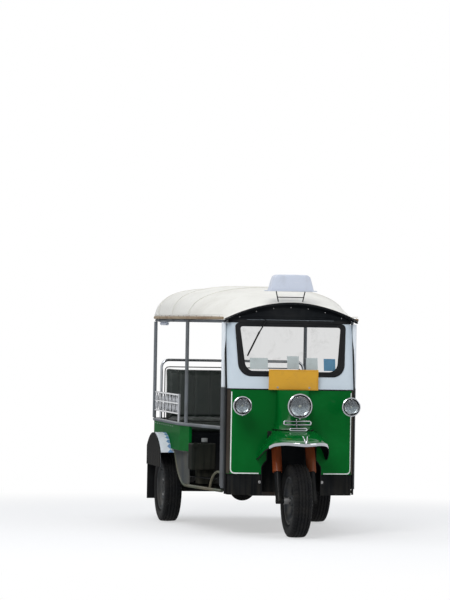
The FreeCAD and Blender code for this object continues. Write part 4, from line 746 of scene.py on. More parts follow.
@dataclass
class Form:
    """Points and faces on their way to a mesh, in metres in the taxi's own frame.

    Attributes:
        points: The corners.
        faces: Corner numbers round each face.
    """

    points: list[Vector] = field(default_factory=list)
    faces: list[tuple[int, ...]] = field(default_factory=list)

    def add(self, other: "Form") -> "Form":
        """Takes in another form.

        Args:
            other: The form to take in.

        Returns:
            This form.
        """
        first = len(self.points)
        self.points += other.points
        self.faces += [tuple(i + first for i in face) for face in other.faces]
        return self

    def moved(self, matrix: Matrix) -> "Form":
        """A copy under a transform.

        Args:
            matrix: The transform.

        Returns:
            The copy, with its faces turned over if the transform mirrors it.
        """
        flip = matrix.to_3x3().determinant() < 0
        faces = [tuple(reversed(f)) if flip else f for f in self.faces]
        return Form([matrix @ p for p in self.points], faces)

    def mirrored(self) -> "Form":
        """A copy on the other side of the taxi."""
        return self.moved(Matrix.Scale(-1.0, 4, Vector((1.0, 0.0, 0.0))))

    def both_sides(self) -> "Form":
        """This form and its copy on the other side."""
        return Form().add(self).add(self.mirrored())

    @staticmethod
    def grid(rows: Sequence[Sequence[Point]], round_rows: bool = False, round_columns: bool = False) -> "Form":
        """A skin over rows of points.

        Args:
            rows: Rows of equal length.
            round_rows: Whether each row closes on itself.
            round_columns: Whether the last row joins the first.

        Returns:
            The skin.
        """
        wide, tall = len(rows[0]), len(rows)
        points = [Vector(p) for row in rows for p in row]
        faces = []
        for j in range(tall if round_columns else tall - 1):
            for i in range(wide if round_rows else wide - 1):
                a, b = j * wide + i, j * wide + (i + 1) % wide
                c, d = ((j + 1) % tall) * wide + (i + 1) % wide, ((j + 1) % tall) * wide + i
                faces.append((a, b, c, d))
        return Form(points, faces)

    @staticmethod
    def tube(path: Sequence[Point], radius: Union[float, Sequence[float]], sides: int = 12, closed: bool = False,
             flat: float = 1.0, upright: Point = (0.0, 0.0, 1.0)) -> "Form":
        """A round or flattened tube along a path.

        Args:
            path: The middle line.
            radius: The radius, or one for each point.
            sides: Corners round the tube.
            closed: Whether the path is a loop.
            flat: Height of the section for a width of 1.
            upright: The direction that the section's height follows.

        Returns:
            The tube, with its ends capped.
        """
        spots = [Vector(p) for p in path]
        count = len(spots)
        sizes = list(radius) if isinstance(radius, (list, tuple)) else [radius] * count
        turn = [math.tau * k / sides for k in range(sides)]
        rows = []
        for i, spot in enumerate(spots):
            before = spots[i - 1] if closed or i else spot
            after = spots[(i + 1) % count] if closed or i < count - 1 else spot
            along = (after - before).normalized()
            side = along.cross(Vector(upright))
            side = side.normalized() if side.length > 1e-4 else along.orthogonal().normalized()
            up = side.cross(along).normalized()
            rows.append([spot + side * math.cos(a) * sizes[i] + up * math.sin(a) * sizes[i] * flat for a in turn])
        form = Form.grid(rows, True, closed)
        if not closed:
            form.faces.append(tuple(range(sides - 1, -1, -1)))
            form.faces.append(tuple(range((count - 1) * sides, count * sides)))
        return form

    @staticmethod
    def turned(profile: Sequence[tuple[float, float]], centre: Point, along: Point, sides: int = 48) -> "Form":
        """A form turned about an axis.

        Args:
            profile: (distance along the axis, radius) pairs.
            centre: Where the axis starts.
            along: The axis.
            sides: Corners round it.

        Returns:
            The turned form, with its ends closed to a point.
        """
        axis = Vector(along).normalized()
        one = axis.orthogonal().normalized()
        two = axis.cross(one)
        start = Vector(centre)
        angles = [math.tau * k / sides for k in range(sides)]
        rows = []
        for distance, radius in profile:
            spot, reach = start + axis * distance, max(radius, 1e-5)
            rows.append([spot + one * math.cos(a) * reach + two * math.sin(a) * reach for a in angles])
        form = Form.grid(rows, True)
        form.faces.append(tuple(range(sides - 1, -1, -1)))
        form.faces.append(tuple(range((len(rows) - 1) * sides, len(rows) * sides)))
        return form

    @staticmethod
    def slab(outline: Sequence[Point], thick: Point) -> "Form":
        """A flat plate from its outline.

        Args:
            outline: Corners round the plate.
            thick: The step from one face to the other.

        Returns:
            The plate.
        """
        low = [Vector(p) for p in outline]
        high = [p + Vector(thick) for p in low]
        count = len(low)
        faces = [tuple(range(count - 1, -1, -1)), tuple(range(count, 2 * count))]
        faces += [(i, (i + 1) % count, count + (i + 1) % count, count + i) for i in range(count)]
        return Form(low + high, faces)

    @staticmethod
    def bolt(centre: Point, along: Point, size: float, tall: float) -> "Form":
        """A hexagon bolt head on its washer.

        Args:
            centre: The middle of the washer's seat.
            along: The way that the head faces.
            size: Half the width across its corners.
            tall: Height of the head.

        Returns:
            The washer and head.
        """
        axis = Vector(along).normalized()
        washer = Form.turned([(0.0, size * 1.35), (tall * 0.25, size * 1.35), (tall * 0.3, size * 1.2)],
                             centre, axis, 20)
        start = Vector(centre) + axis * tall * 0.29
        head = Form.turned([(0.0, size), (tall * 0.6, size), (tall * 0.72, size * 0.86)], start, axis, 6)
        return washer.add(head)

    @staticmethod
    def rivet(centre: Point, along: Point, size: float) -> "Form":
        """A domed rivet head.

        Args:
            centre: The middle of its seat.
            along: The way that it faces.
            size: Its radius.

        Returns:
            The head.
        """
        profile = [(-size * 0.15, size), (0.0, size), (size * 0.3, size * 0.85), (size * 0.5, size * 0.45),
                   (size * 0.56, 0.0)]
        return Form.turned(profile, centre, along, 12)


@dataclass
class Piece:
    """One visible piece of the taxi.

    Attributes:
        name: What the piece is.
        form: Its points and faces.
        made: Its object in the scene, once it is built.
    """

    name: str
    form: Form
    made: bpy.types.Object | None = None

    def build(self, palette: Palette, finish: str, smooth: float = 40.0, body: Body = Body.CHASSIS) -> "Piece":
        """Makes the mesh, gives it its finish and fixes it to a body.

        Args:
            palette: The finishes.
            finish: The one that it wears.
            smooth: Edges sharper than this angle, in degrees, stay sharp.
            body: The body that carries it.

        Returns:
            This piece.
        """
        mesh = bpy.data.meshes.new(self.name)
        mesh.from_pydata([tuple(p) for p in self.form.points], [], self.form.faces)
        bm = bmesh.new()
        bm.from_mesh(mesh)
        bmesh.ops.remove_doubles(bm, verts=bm.verts, dist=2e-5)
        bmesh.ops.recalc_face_normals(bm, faces=bm.faces)
        for face in bm.faces:
            face.smooth = True
        limit = math.radians(smooth)
        for edge in bm.edges:
            edge.smooth = len(edge.link_faces) == 2 and edge.calc_face_angle(0.0) < limit
        bm.to_mesh(mesh)
        bm.free()
        mesh.materials.append(palette.get(finish))
        self.made = bpy.data.objects.new(self.name, mesh)
        bpy.context.scene.collection.objects.link(self.made)
        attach(self.made, body.value)
        LOG.info("%s: %d faces", self.name, len(mesh.polygons))
        return self

    def refined(self) -> "Piece":
        """Smooths the mesh by one step of subdivision.

        Returns:
            This piece.
        """
        finer = self.made.modifiers.new("refining", "SUBSURF")
        finer.levels = finer.render_levels = 1
        return self

    def thickened(self, thick: float) -> "Piece":
        """Gives a skin its thickness.

        Args:
            thick: The thickness, inward from the skin, in metres.

        Returns:
            This piece.
        """
        solid = self.made.modifiers.new("thickness", "SOLIDIFY")
        solid.thickness = thick
        solid.offset = -1.0
        return self

    def stands_for(self, *nodes: str) -> "Piece":
        """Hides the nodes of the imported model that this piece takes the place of."""
        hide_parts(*nodes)
        return self

    def finish_of(self, slot: str) -> "Piece":
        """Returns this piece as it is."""
        return self


def arc(centre: Point, one: Point, two: Point, start: float, end: float, count: int) -> list[Vector]:
    """Points on an arc between two angles in degrees; one and two are its radii at 0 and at 90 degrees."""
    angles = [math.radians(start + (end - start) * i / (count - 1)) for i in range(count)]
    return [Vector(centre) + Vector(one) * math.cos(a) + Vector(two) * math.sin(a) for a in angles]


def between(low: float, high: float, count: int) -> list[float]:
    """Evenly spaced numbers, both ends included."""
    return [low + (high - low) * i / (count - 1) for i in range(count)]


def opposite(points: Sequence[Vector]) -> list[Vector]:
    """The same points on the other side of the taxi, last first."""
    return [Vector((-p.x, p.y, p.z)) for p in reversed(points)]


def round_cornered(low: Point, high: Point, radius: float, count: int) -> list[Vector]:
    """Points round a rectangle with round corners, level with X and Y.

    Args:
        low: Its lowest X and Y.
        high: Its highest X and Y.
        radius: Radius of its corners.
        count: Points round each corner.

    Returns:
        The points, from the corner at its highest X and Y.
    """
    left, right, near, far = low[0] + radius, high[0] - radius, low[1] + radius, high[1] - radius
    spots = []
    for quarter, (x, y) in enumerate(((right, far), (left, far), (left, near), (right, near))):
        start = 90.0 * quarter
        spots += arc((x, y, 0.0), (radius, 0.0, 0.0), (0.0, radius, 0.0), start, start + 90.0, count)
    return spots


@dataclass
class Stage:
    """Floor, lights and camera.

    Attributes:
        spot: Where the camera stands, in metres.
        heading: Angle of its line of sight from straight back, in radians.
        rise: How far it looks up, in radians.
        tilt: How far it leans, in radians.
        lens: Focal length in millimetres on a 36 mm tall picture.
    """

    spot: Point = (-5.366, -25.379, 1.537)
    heading: float = -0.1963
    rise: float = 0.0082
    tilt: float = 0.0170
    lens: float = 201.5

    def camera(self) -> None:
        """Sets the camera at the photograph's viewing angle."""
        ahead = Vector((-math.sin(self.heading) * math.cos(self.rise), math.cos(self.heading) * math.cos(self.rise),
                        math.sin(self.rise)))
        right = Vector((math.cos(self.heading), math.sin(self.heading), 0.0))
        up = right.cross(ahead)
        turned_right = right * math.cos(self.tilt) + up * math.sin(self.tilt)
        turned_up = up * math.cos(self.tilt) - right * math.sin(self.tilt)
        data = bpy.data.cameras.new("camera")
        data.lens = self.lens
        data.sensor_width = 36.0
        data.clip_end = 200.0
        camera = bpy.data.objects.new("camera", data)
        bpy.context.scene.collection.objects.link(camera)
        turn = Matrix((turned_right, turned_up, -ahead)).transposed().to_4x4()
        camera.matrix_world = Matrix.Translation(Vector(self.spot)) @ turn
        bpy.context.scene.camera = camera

    def floor(self) -> None:
        """Lays a pale floor that shows white and keeps the taxi's shadow."""
        s = Shader("pale_floor")
        shade = s.node("ShaderNodeBsdfPrincipled", None, {"Base Color": (0.92, 0.92, 0.92), "Roughness": 0.9})
        glow = s.node("ShaderNodeEmission", None, {"Color": (1.0, 1.0, 1.0), "Strength": 1.0})
        away = (s.axis("X") ** 2 + s.axis("Y") ** 2).ramp(3.0, 30.0)
        s.close(s.node("ShaderNodeMixShader", None, {0: s.seen() * (away * 0.5 + 0.5), 1: shade, 2: glow}))
        form = Form.slab([(-40, -40, -0.05), (40, -40, -0.05), (40, 40, -0.05), (-40, 40, -0.05)], (0, 0, 0.05))
        mesh = bpy.data.meshes.new("floor")
        mesh.from_pydata([tuple(p) for p in form.points], [], form.faces)
        mesh.materials.append(s.material)
        plane = bpy.data.objects.new("floor", mesh)
        bpy.context.scene.collection.objects.link(plane)

    def lamp(self, name: str, spot: Point, aim: Point, width: float, power: float) -> None:
        """Hangs a soft square lamp.

        Args:
            name: Its name.
            spot: Where it hangs.
            aim: What it points at.
            width: Its width in metres.
            power: Its power in watts.
        """
        data = bpy.data.lights.new(name, "AREA")
        data.shape = "SQUARE"
        data.size = width
        data.energy = power
        lamp = bpy.data.objects.new(name, data)
        bpy.context.scene.collection.objects.link(lamp)
        lamp.location = spot
        lamp.rotation_euler = (Vector(aim) - Vector(spot)).to_track_quat("-Z", "Y").to_euler()

    def world(self) -> None:
        """Fills the room with soft light and shows it as white."""
        s = Shader("studio", world=True)
        soft = s.node("ShaderNodeBackground", None, {"Color": (0.86, 0.91, 1.0), "Strength": 0.5})
        white = s.node("ShaderNodeBackground", None, {"Color": (1.0, 1.0, 1.0), "Strength": 1.0})
        s.close(s.node("ShaderNodeMixShader", None, {0: s.seen(), 1: soft, 2: white}))
        bpy.context.scene.world = s.material

    def build(self) -> None:
        """Sets up the whole stage."""
        scene = bpy.context.scene
        scene.view_settings.view_transform = "Standard"
        self.camera()
        self.floor()
        self.world()
        self.lamp("key", (-3.6, -6.5, 6.2), (0.0, 0.0, 0.9), 3.2, 300.0)
        self.lamp("fill", (6.0, -5.0, 3.6), (0.0, 0.0, 0.8), 4.5, 80.0)
        self.lamp("top", (-0.5, 1.0, 7.0), (0.0, 0.0, 0.8), 5.0, 150.0)
        LOG.info("stage ready")


def curve_through(first: Point, middle: Point, last: Point, count: int) -> list[Vector]:
    """Points on the arc through three places.

    Args:
        first: Where it starts.
        middle: A place on it.
        last: Where it ends.
        count: How many points.

    Returns:
        The points, both ends included.
    """
    a, b, c = Vector(first), Vector(middle), Vector(last)
    normal = (b - a).cross(c - a)
    if normal.length < 1e-9:
        return [a.lerp(c, t) for t in between(0.0, 1.0, count)]
    ab, ac = b - a, c - a
    centre = a + (normal.cross(ab) * ac.length_squared + ac.cross(normal) * ab.length_squared) / (
        2.0 * normal.length_squared)
    one = a - centre
    two = normal.normalized().cross(one)
    ends = math.atan2((c - centre).dot(two), (c - centre).dot(one))
    ends = ends if ends > 0 else ends + math.tau
    return arc(centre, one, two, 0.0, math.degrees(ends), count)


def evened(line: Sequence[Vector], count: int, soften: int = 0) -> list[Vector]:
    """Spreads points evenly along a line.

    Args:
        line: The line's own points.
        count: How many to give back.
        soften: How often each point moves towards its neighbours' middle.

    Returns:
        The even points, with both ends kept.
    """
    lengths = [0.0]
    for one, two in zip(line, line[1:]):
        lengths.append(lengths[-1] + (two - one).length)
    spots: list[Vector] = []
    k = 0
    for want in between(0.0, lengths[-1], count):
        while k < len(line) - 2 and lengths[k + 1] < want:
            k += 1
        share = (want - lengths[k]) / max(lengths[k + 1] - lengths[k], 1e-9)
        spots.append(line[k].lerp(line[k + 1], min(share, 1.0)))
    for _ in range(soften):
        inner = [(spots[i - 1] + spots[i] * 2.0 + spots[i + 1]) / 4.0 for i in range(1, len(spots) - 1)]
        spots = [spots[0]] + inner + [spots[-1]]
    return spots


@dataclass
class Canopy:
    """Cream canopy stretched over its bows, with welted seams and a piped hem, and the black visor ahead of it.

    Attributes:
        hem: Height of the hem, in metres.
        stations: (y, half width, crown height, fullness sideways, fullness upward) along the roof.
        bows: Where the bows lift the sheet.
        sag: How far the sheet sinks between bows.
        fold: Depth of its soft folds.
        ripple: Depth of the ripples above its hem.
        cloth: Thickness of the sheet.
        tail: (share let in, step back) of each ring round the rear end.
        bend: Radius of the hem's rear corners.
        seam_ys: Where the seams cross the roof.
        rail: (x, y) points of the left rail below the hem.
        tube: Radius of the rails and bows.
        arch: Half width, foot and crown of the visor's arch.
        closing: (share upward, step ahead) of the panel that closes the roof behind the visor.
    """

    hem: float = 1.598
    stations: tuple[tuple[float, float, float, float, float], ...] = (
        (-0.950, 0.508, 1.7265, 2.0, 1.0), (-0.885, 0.517, 1.748, 2.05, 1.15), (-0.575, 0.556, 1.800, 2.15, 1.75),
        (-0.060, 0.622, 1.850, 2.35, 2.35), (0.535, 0.638, 1.862, 2.8, 2.8), (1.135, 0.637, 1.850, 3.1, 3.1),
        (1.325, 0.630, 1.803, 3.2, 3.2), (1.425, 0.612, 1.700, 3.0, 3.0))
    bows: tuple[float, ...] = (-0.950, -0.060, 0.535, 1.135)
    sag: float = 0.009
    fold: float = 0.0025
    ripple: float = 0.0011
    cloth: float = 0.004
    tail: tuple[tuple[float, float], ...] = (
        (0.006, 0.005), (0.016, 0.010), (0.030, 0.012), (0.16, 0.012), (0.34, 0.010), (0.56, 0.008), (0.8, 0.006))
    bend: float = 0.035
    seam_ys: tuple[float, ...] = (-0.072, 0.522, 1.128)
    rail: tuple[tuple[float, float], ...] = (
        (0.481, -0.885), (0.527, -0.575), (0.597, -0.060), (0.611, 0.535), (0.611, 1.135), (0.615, 1.355))
    tube: float = 0.011
    arch: tuple[float, float, float] = (0.508, 1.592, 1.7245)
    closing: tuple[tuple[float, float], ...] = (
        (0.0, 0.0), (0.30, 0.004), (0.34, 0.007), (0.38, 0.004), (0.70, 0.001), (0.74, 0.004), (0.78, 0.001),
        (1.0, 0.0))

    def station(self, y: float) -> tuple[float, float, float, float]:
        """Sizes of the roof at a distance along it.

        Args:
            y: The distance.

        Returns:
            Half width, crown height and the fullness sideways and upward.
        """
        rows = self.stations
        k = max(i for i in range(len(rows) - 1) if rows[i][0] <= y + 1e-9 or i == 0)
        near = [rows[max(k - 1, 0)], rows[k], rows[k + 1], rows[min(k + 2, len(rows) - 1)]]
        span = near[2][0] - near[1][0]
        t = (y - near[1][0]) / span
        values = []
        for j in (1, 2, 3, 4):
            slopes = [(c[j] - a[j]) / (c[0] - a[0]) * span for a, c in zip(near, near[2:])]
            square, cube = t * t, t * t * t
            values.append((2 * cube - 3 * square + 1) * near[1][j] + (cube - 2 * square + t) * slopes[0]
                          + (3 * square - 2 * cube) * near[2][j] + (cube - square) * slopes[1])
        return values[0], values[1], values[2], values[3]

    def sink(self, y: float) -> float:
        """How far the sheet hangs below its bows.

        Args:
            y: The distance along the roof.

        Returns:
            The sag in metres.
        """
        for low, high in zip(self.bows, self.bows[1:]):
            if low <= y <= high:
                return self.sag * math.sin(math.pi * (y - low) / (high - low)) ** 0.8
        return 0.0

    def section(self, y: float, out: float = 0.0, count: int = 97) -> list[Vector]:
        """The sheet's line across the roof.

        Args:
            y: The distance along the roof.
            out: How far outside the sheet.
            count: How many points.

        Returns:
            Points from the right hem over the crown to the left hem.
        """
        half, crown, side, top = self.station(y)
        rise = crown - self.hem
        right = [Vector((-half * math.cos(a) ** (2.0 / side), y, self.hem + rise * math.sin(a) ** (2.0 / top)))
                 for a in between(0.0, math.pi / 2, 90)]
        line = evened(right + opposite(right[:-1]), count, 3)
        sink = self.sink(y)
        spots = []
        for p in line:
            lift = min(max((p.z - self.hem) / rise, 0.0), 1.0)
            pull = sink * (1.0 if lift > 0.3 else lift / 0.3)
            inward = Vector((-p.x * 0.4, 0.0, -abs(p.z - self.hem) - 0.05)).normalized()
            fold = noise.noise(Vector((p.x * 3.0, y * 3.3, p.z * 2.2))) * self.fold
            ripple = math.sin(y * 46.0 + p.x * 3.0) * self.ripple * math.exp(-((p.z - self.hem) / 0.05) ** 2)
            spots.append(p + inward * (pull + fold * lift) + Vector((math.copysign(ripple, p.x), 0.0, 0.0))
                         - inward * out)
        spots[0].z = spots[-1].z = self.hem
        return spots

    def sheet(self) -> Form:
        """The canopy sheet with its rounded rear end.

        Returns:
            The skin's form.
        """
        rows = [self.section(y) for y in between(self.stations[0][0], self.stations[-1][0] - 0.006, 118)]
        end = rows[-1]
        for share, back in self.tail:
            rows.append([Vector((p.x * (1.0 - share * 0.10), p.y + back, p.z + (self.hem - p.z) * share))
                         for p in end])
        rows.append([Vector((p.x * 0.9, p.y + 0.006, self.hem)) for p in end])
        return Form.grid(rows)

    def hem_line(self, out: float, z: float) -> list[Vector]:
        """The path of the hem round both sides and the back.

        Args:
            out: How far outside the sheet.
            z: Its height.

        Returns:
            Points from the right front corner round the back to the left front corner.
        """
        ys = between(self.stations[0][0] + self.bend, self.stations[-1][0] - self.bend, 60)
        right = [Vector((-self.station(y)[0] - out, y, z)) for y in ys]
        last, reach = right[-1], self.bend + out
        corner = [last + Vector((self.bend * (1 - math.cos(a)), reach * math.sin(a), 0.0))
                  for a in between(0.2, math.pi / 2, 6)]
        path = right + corner
        return path + opposite(path)

    def seams(self) -> Form:
        """Welted seams over the bows, with a row of stitches each side.

        Returns:
            Their form.
        """
        form = Form()
        for y in self.seam_ys:
            line = self.section(y, 0.0016, 121)[2:-2]
            form.add(Form.tube(line, 0.0046, 8, flat=0.6))
            for offset in (-0.012, 0.012):
                stitched = self.section(y + offset, 0.0006, 260)[4:-4]
                for one, two in zip(stitched[::2], stitched[1::2]):
                    form.add(Form.tube([one, one.lerp(two, 0.8)], 0.0009, 5))
        return form

    def visor_line(self, y: float, drop: float) -> list[Vector]:
        """The visor's arch from right to left, some way along the roof and below the sheet's front edge."""
        half, foot, crown = self.arch
        return curve_through((-half, y, foot - drop), (0.0, y, crown - drop), (half, y, foot - drop), 61)

    def visor(self) -> Form:
        """Black arched visor with a rolled lip, and the panel that closes the roof behind it.

        Returns:
            Their form.
        """
        form = Form.grid([self.visor_line(y, drop) for y, drop in (
            (-0.890, 0.010), (-0.955, 0.010), (-0.957, 0.004), (-0.955, 0.001), (-0.890, 0.003))])
        top, seat_z = self.visor_line(-0.918, 0.008), self.hem + 0.0005
        panel = [[Vector((p.x * 0.985, p.y - ahead, p.z + (seat_z - p.z) * share)) for p in top]
                 for share, ahead in self.closing]
        return form.add(Form.grid(panel))

    def frame(self) -> Form:
        """Tube rails below the hem and the bows under the sheet, with a collar at every joint.

        Returns:
            Their form.
        """
        low = self.hem - self.tube
        corner = ((0.606, 1.388), (0.585, 1.401), (0.559, 1.404))
        left = [Vector((x, y, low)) for x, y in self.rail + corner]
        loop = [Vector((-p.x, p.y, p.z)) for p in left] + left[::-1]
        form = Form.tube(evened(loop, 260, 2), self.tube, 14)
        wide, narrow = self.tube * 1.12, self.tube * 0.9
        collar = [(-0.014, narrow), (-0.010, wide), (0.010, wide), (0.014, narrow)]
        for y in self.bows[1:]:
            line = self.section(y, -self.tube - 0.006, 91)
            line[0].z = line[-1].z = low
            form.add(Form.tube(line, self.tube, 14))
            for end in (line[0], line[-1]):
                form.add(Form.turned(collar, end, (0.0, 1.0, 0.0), 20))
        return form

    def build(self, palette: Palette) -> None:
        """Makes every piece of the canopy.

        Args:
            palette: The finishes.
        """
        sheet = Piece("canopy_sheet", self.sheet()).build(palette, "roof_vinyl", 60.0)
        sheet.thickened(self.cloth).stands_for("roof_canopy").finish_of("roof_vinyl")
        Piece("canopy_seams", self.seams()).build(palette, "roof_vinyl").finish_of("roof_vinyl")
        edge = [p + Vector((0.0, -0.002, 0.001)) for p in self.section(self.stations[0][0], 0.0, 121)]
        Piece("canopy_front_binding", Form.tube(edge, 0.0042, 10)).build(palette, "black_rubber")
        visor = Piece("arched_visor", self.visor()).build(palette, "dark_paint", 35.0)
        visor.stands_for("roof_visor").finish_of("dark_paint")
        frame = Piece("roof_tubes", self.frame()).build(palette, "grey_paint", 60.0)
        frame.stands_for("roof_frame").finish_of("grey_paint")
        hem = Form.tube(self.hem_line(0.0015, self.hem + 0.010), 0.0075, 10, flat=1.5)
        Piece("canopy_hem_piping", hem).build(palette, "rusty_pipe")
        cord = Form.tube(self.hem_line(0.0022, self.hem + 0.034), 0.0028, 8)
        Piece("canopy_hem_welt", cord).build(palette, "roof_vinyl").finish_of("roof_vinyl")
        self.rivets(palette)

    def rivets(self, palette: Palette) -> None:
        """Sets rivets along the visor's lip and snap heads along the hem.

        Args:
            palette: The finishes.
        """
        heads = Form()
        for p in evened(self.visor_line(-0.922, 0.030), 9)[1:-1]:
            heads.add(Form.rivet(p, (0.0, -1.0, 0.0), 0.0045))
        Piece("visor_rivets", heads).build(palette, "steel").finish_of("steel")
        snaps = Form()
        for y in between(-0.83, 1.33, 13):
            half = self.station(y)[0]
            snaps.add(Form.rivet((half + 0.0005, y, self.hem + 0.022), (1.0, 0.0, 0.0), 0.005))
        Piece("canopy_snaps", snaps.both_sides()).build(palette, "steel").finish_of("steel")


@dataclass
class RoofSign:
    """Blank roof sign: a moulded case with round shoulders on a flat brim.

    Attributes:
        front: Y of its face, in metres.
        depth: How deep the case is.
        low: Height of the brim's underside.
        tall: Height of the whole sign.
        foot: Half width of the case at its foot.
        top: Half width of its flat top.
        brim: Half width of the brim.
        sheet: Thickness of the brim.
        edge: (step back, step inward) of each ring round the case's front edge.
    """

    front: float = -0.955
    depth: float = 0.110
    low: float = 1.815
    tall: float = 0.1235
    foot: float = 0.168
    top: float = 0.118
    brim: float = 0.189
    sheet: float = 0.006
    edge: tuple[tuple[float, float], ...] = (
        (0.0, 0.018), (0.001, 0.011), (0.004, 0.004), (0.009, 0.001), (0.016, 0.0))

    def outline(self, y: float, inset: float) -> list[Vector]:
        """The case's outline.

        Args:
            y: Where along the roof.
            inset: How far inside the case's edge.

        Returns:
            Its points from the right foot over the top to the left foot.
        """
        top_z = self.low + self.tall - inset
        side, side_z = self.top + 0.022 - inset, top_z - 0.030
        half = [Vector((inset - self.foot, y, self.low + self.sheet)), Vector((-side - 0.004, y, side_z))]
        half += curve_through((-side - 0.002, y, side_z + 0.004), (-side + 0.010, y, top_z - 0.008),
                              (-self.top + 0.012, y, top_z), 10)
        half.append(Vector((0.0, y, top_z + 0.0015)))
        return evened(half + opposite(half[:-1]), 81, 1)

    def case(self) -> Form:
        """The case with rounded front and back edges.

        Returns:
            Its form.
        """
        rim, foot_z = self.outline(self.front, self.edge[0][1]), self.low + self.sheet
        rows = [[Vector((p.x * share, p.y, foot_z + (p.z - foot_z) * share)) for p in rim]
                for share in (0.0, 4.0 / 15.0, 0.6)]
        rows += [self.outline(self.front + back, inset) for back, inset in self.edge]
        rear = self.front * 2.0 + self.depth
        return Form.grid(rows + [[Vector((p.x, rear - p.y, p.z)) for p in row] for row in reversed(rows)])

    def base(self) -> Form:
        """The flat brim with a rolled edge.

        Returns:
            Its form.
        """
        ledge, lift = 0.008, Vector((0.0, 0.0, self.low))
        back = self.front + self.depth + ledge
        corners = [p + lift for p in round_cornered((-self.brim, self.front - ledge), (self.brim, back), 0.018, 7)]
        middle = Vector((0.0, 0.0, self.sheet / 2))
        rolled = Form.tube([p + middle for p in corners], 0.0038, 8, closed=True)
        return Form.slab(corners, middle * 2.0).add(rolled)

    def build(self, palette: Palette) -> None:
        """Makes every piece of the sign.

        Args:
            palette: The finishes.
        """
        for name, form in (("sign_case", self.case()), ("sign_brim", self.base())):
            part = Piece(name, form).build(palette, "white_plastic", 50.0)
            part.stands_for("roof_sign").finish_of("white_plastic")


@dataclass
class WheelLooks:
    """Treaded tyre, nuts and valve of one wheel.

    Attributes:
        body: The wheel's body.
        tyre_node: The plain tyre that the treaded one takes the place of.
        centre: Middle of the wheel, in metres.
        outward: Side on which the rim's disc shows, -1 or 1.
        radius: Outer radius of the tyre.
        width: Width of the tyre.
        bead: Radius at the rim.
        sectors: Steps round the tread.
        pitches: Repeats of the tread's pattern round the tyre.
        grooves: Middles of the grooves, over half the width.
        groove_depth: Depth of the grooves.
        shoulder: Where the cross cuts of the shoulders start, over half the width.
        disc: How far the rim's disc stands out from the wheel's middle.
        nut_circle: Radius of the circle of nuts.
    """

    body: Body
    tyre_node: str
    centre: tuple[float, float, float]
    outward: int
    radius: float = 0.270
    width: float = 0.137
    bead: float = 0.170
    sectors: int = 432
    pitches: int = 54
    grooves: tuple[float, ...] = (-0.52, -0.18, 0.18, 0.52)
    groove_depth: float = 0.0065
    shoulder: float = 0.62
    disc: float = 0.0235
    nut_circle: float = 0.062

    def outline(self) -> list[tuple[float, float]]:
        """Half of the tyre's section, from the middle of the tread to the bead.

        Returns:
            (distance from the middle, radius) pairs.
        """
        half, top = self.width / 2, self.radius
        tread = [(half * 0.80 * i / 13, top - 0.0035 * (i / 13) ** 2) for i in range(14)]
        wall = [(half * share, top - down) for share, down in (
            (0.86, 0.0065), (0.92, 0.013), (0.965, 0.022), (0.99, 0.034), (1.0, 0.044), (0.985, 0.056),
            (0.95, 0.068), (0.90, 0.080))]
        heel = [(half * share, self.bead + up) for share, up in ((0.84, 0.016), (0.80, 0.008), (0.77, 0.001))]
        return tread + wall + heel

    def tread_depth(self, turn: float, across: float) -> float:
        """How deep the tread is cut at a spot.

        Args:
            turn: Place round the tyre, in pitches of the pattern.
            across: Distance from the middle, over half the width.

        Returns:
            Depth in metres.
        """
        deep = 0.0
        wave = abs((turn % 1.0) - 0.5) * 4.0 - 1.0
        for line in self.grooves:
            gap = abs(across - line - 0.035 * wave * (1 if line > 0 else -1))
            deep = max(deep, self.groove_depth * (1.0 if gap < 0.035 else max(0.0, 1.0 - (gap - 0.035) / 0.025)))
        if abs(across) > self.shoulder:
            cut = abs((turn + 0.25 * (across > 0)) % 1.0 - 0.5)
            edge = min((abs(across) - self.shoulder) / 0.05, 1.0)
            deep = max(deep, 0.006 * edge * (1.0 if cut < 0.11 else max(0.0, 1.0 - (cut - 0.11) / 0.06)))
        return deep

    def tyre(self) -> Form:
        """The treaded tyre.

        Returns:
            Its form.
        """
        half_line = self.outline()
        line = [(-x, r) for x, r in reversed(half_line[1:])] + half_line
        rows = []
        for k in range(self.sectors):
            angle = math.tau * k / self.sectors
            turn = k * self.pitches / self.sectors
            row = []
            for x, r in line:
                across = x / (self.width / 2)
                depth = self.tread_depth(turn, across) if abs(across) <= 0.93 else 0.0
                ribs = 0.0007 * math.sin((self.radius - r) * 900.0) if 0.93 < abs(across) < 0.995 else 0.0
                reach = r - depth
                row.append(Vector(self.centre) + Vector((x + math.copysign(ribs, x), math.sin(angle) * reach,
                                                         math.cos(angle) * reach)))
            rows.append(row)
        return Form.grid(rows, False, True)

    def build(self, palette: Palette) -> None:
        """Makes every piece of the wheel.

        Args:
            palette: The finishes.
        """
        name = self.body.value
        tyre = Piece(f"{name}_treaded_tyre", self.tyre()).build(palette, "tyre", 50.0, self.body)
        tyre.stands_for(self.tyre_node).finish_of("tyre")
        disc = Vector(self.centre) + Vector((self.outward * self.disc, 0.0, 0.0))
        nuts = Form()
        for k in range(5):
            angle = math.tau * k / 5
            spot = disc + Vector((0.0, math.cos(angle), math.sin(angle))) * self.nut_circle
            nuts.add(Form.bolt(spot, (self.outward, 0.0, 0.0), 0.0105, 0.014))
        Piece(f"{name}_nuts", nuts).build(palette, "steel", body=self.body).finish_of("steel")
        stem = [(0.0, 0.0045), (0.012, 0.0042), (0.013, 0.0033), (0.028, 0.0033), (0.029, 0.0022), (0.034, 0.0022)]
        foot = disc + Vector((self.outward * 0.004, 0.0, 0.128))
        valve = Form.turned(stem, foot, (self.outward, 0.0, 0.25), 14)
        Piece(f"{name}_valve", valve).build(palette, "black_rubber", body=self.body).finish_of("black_rubber")


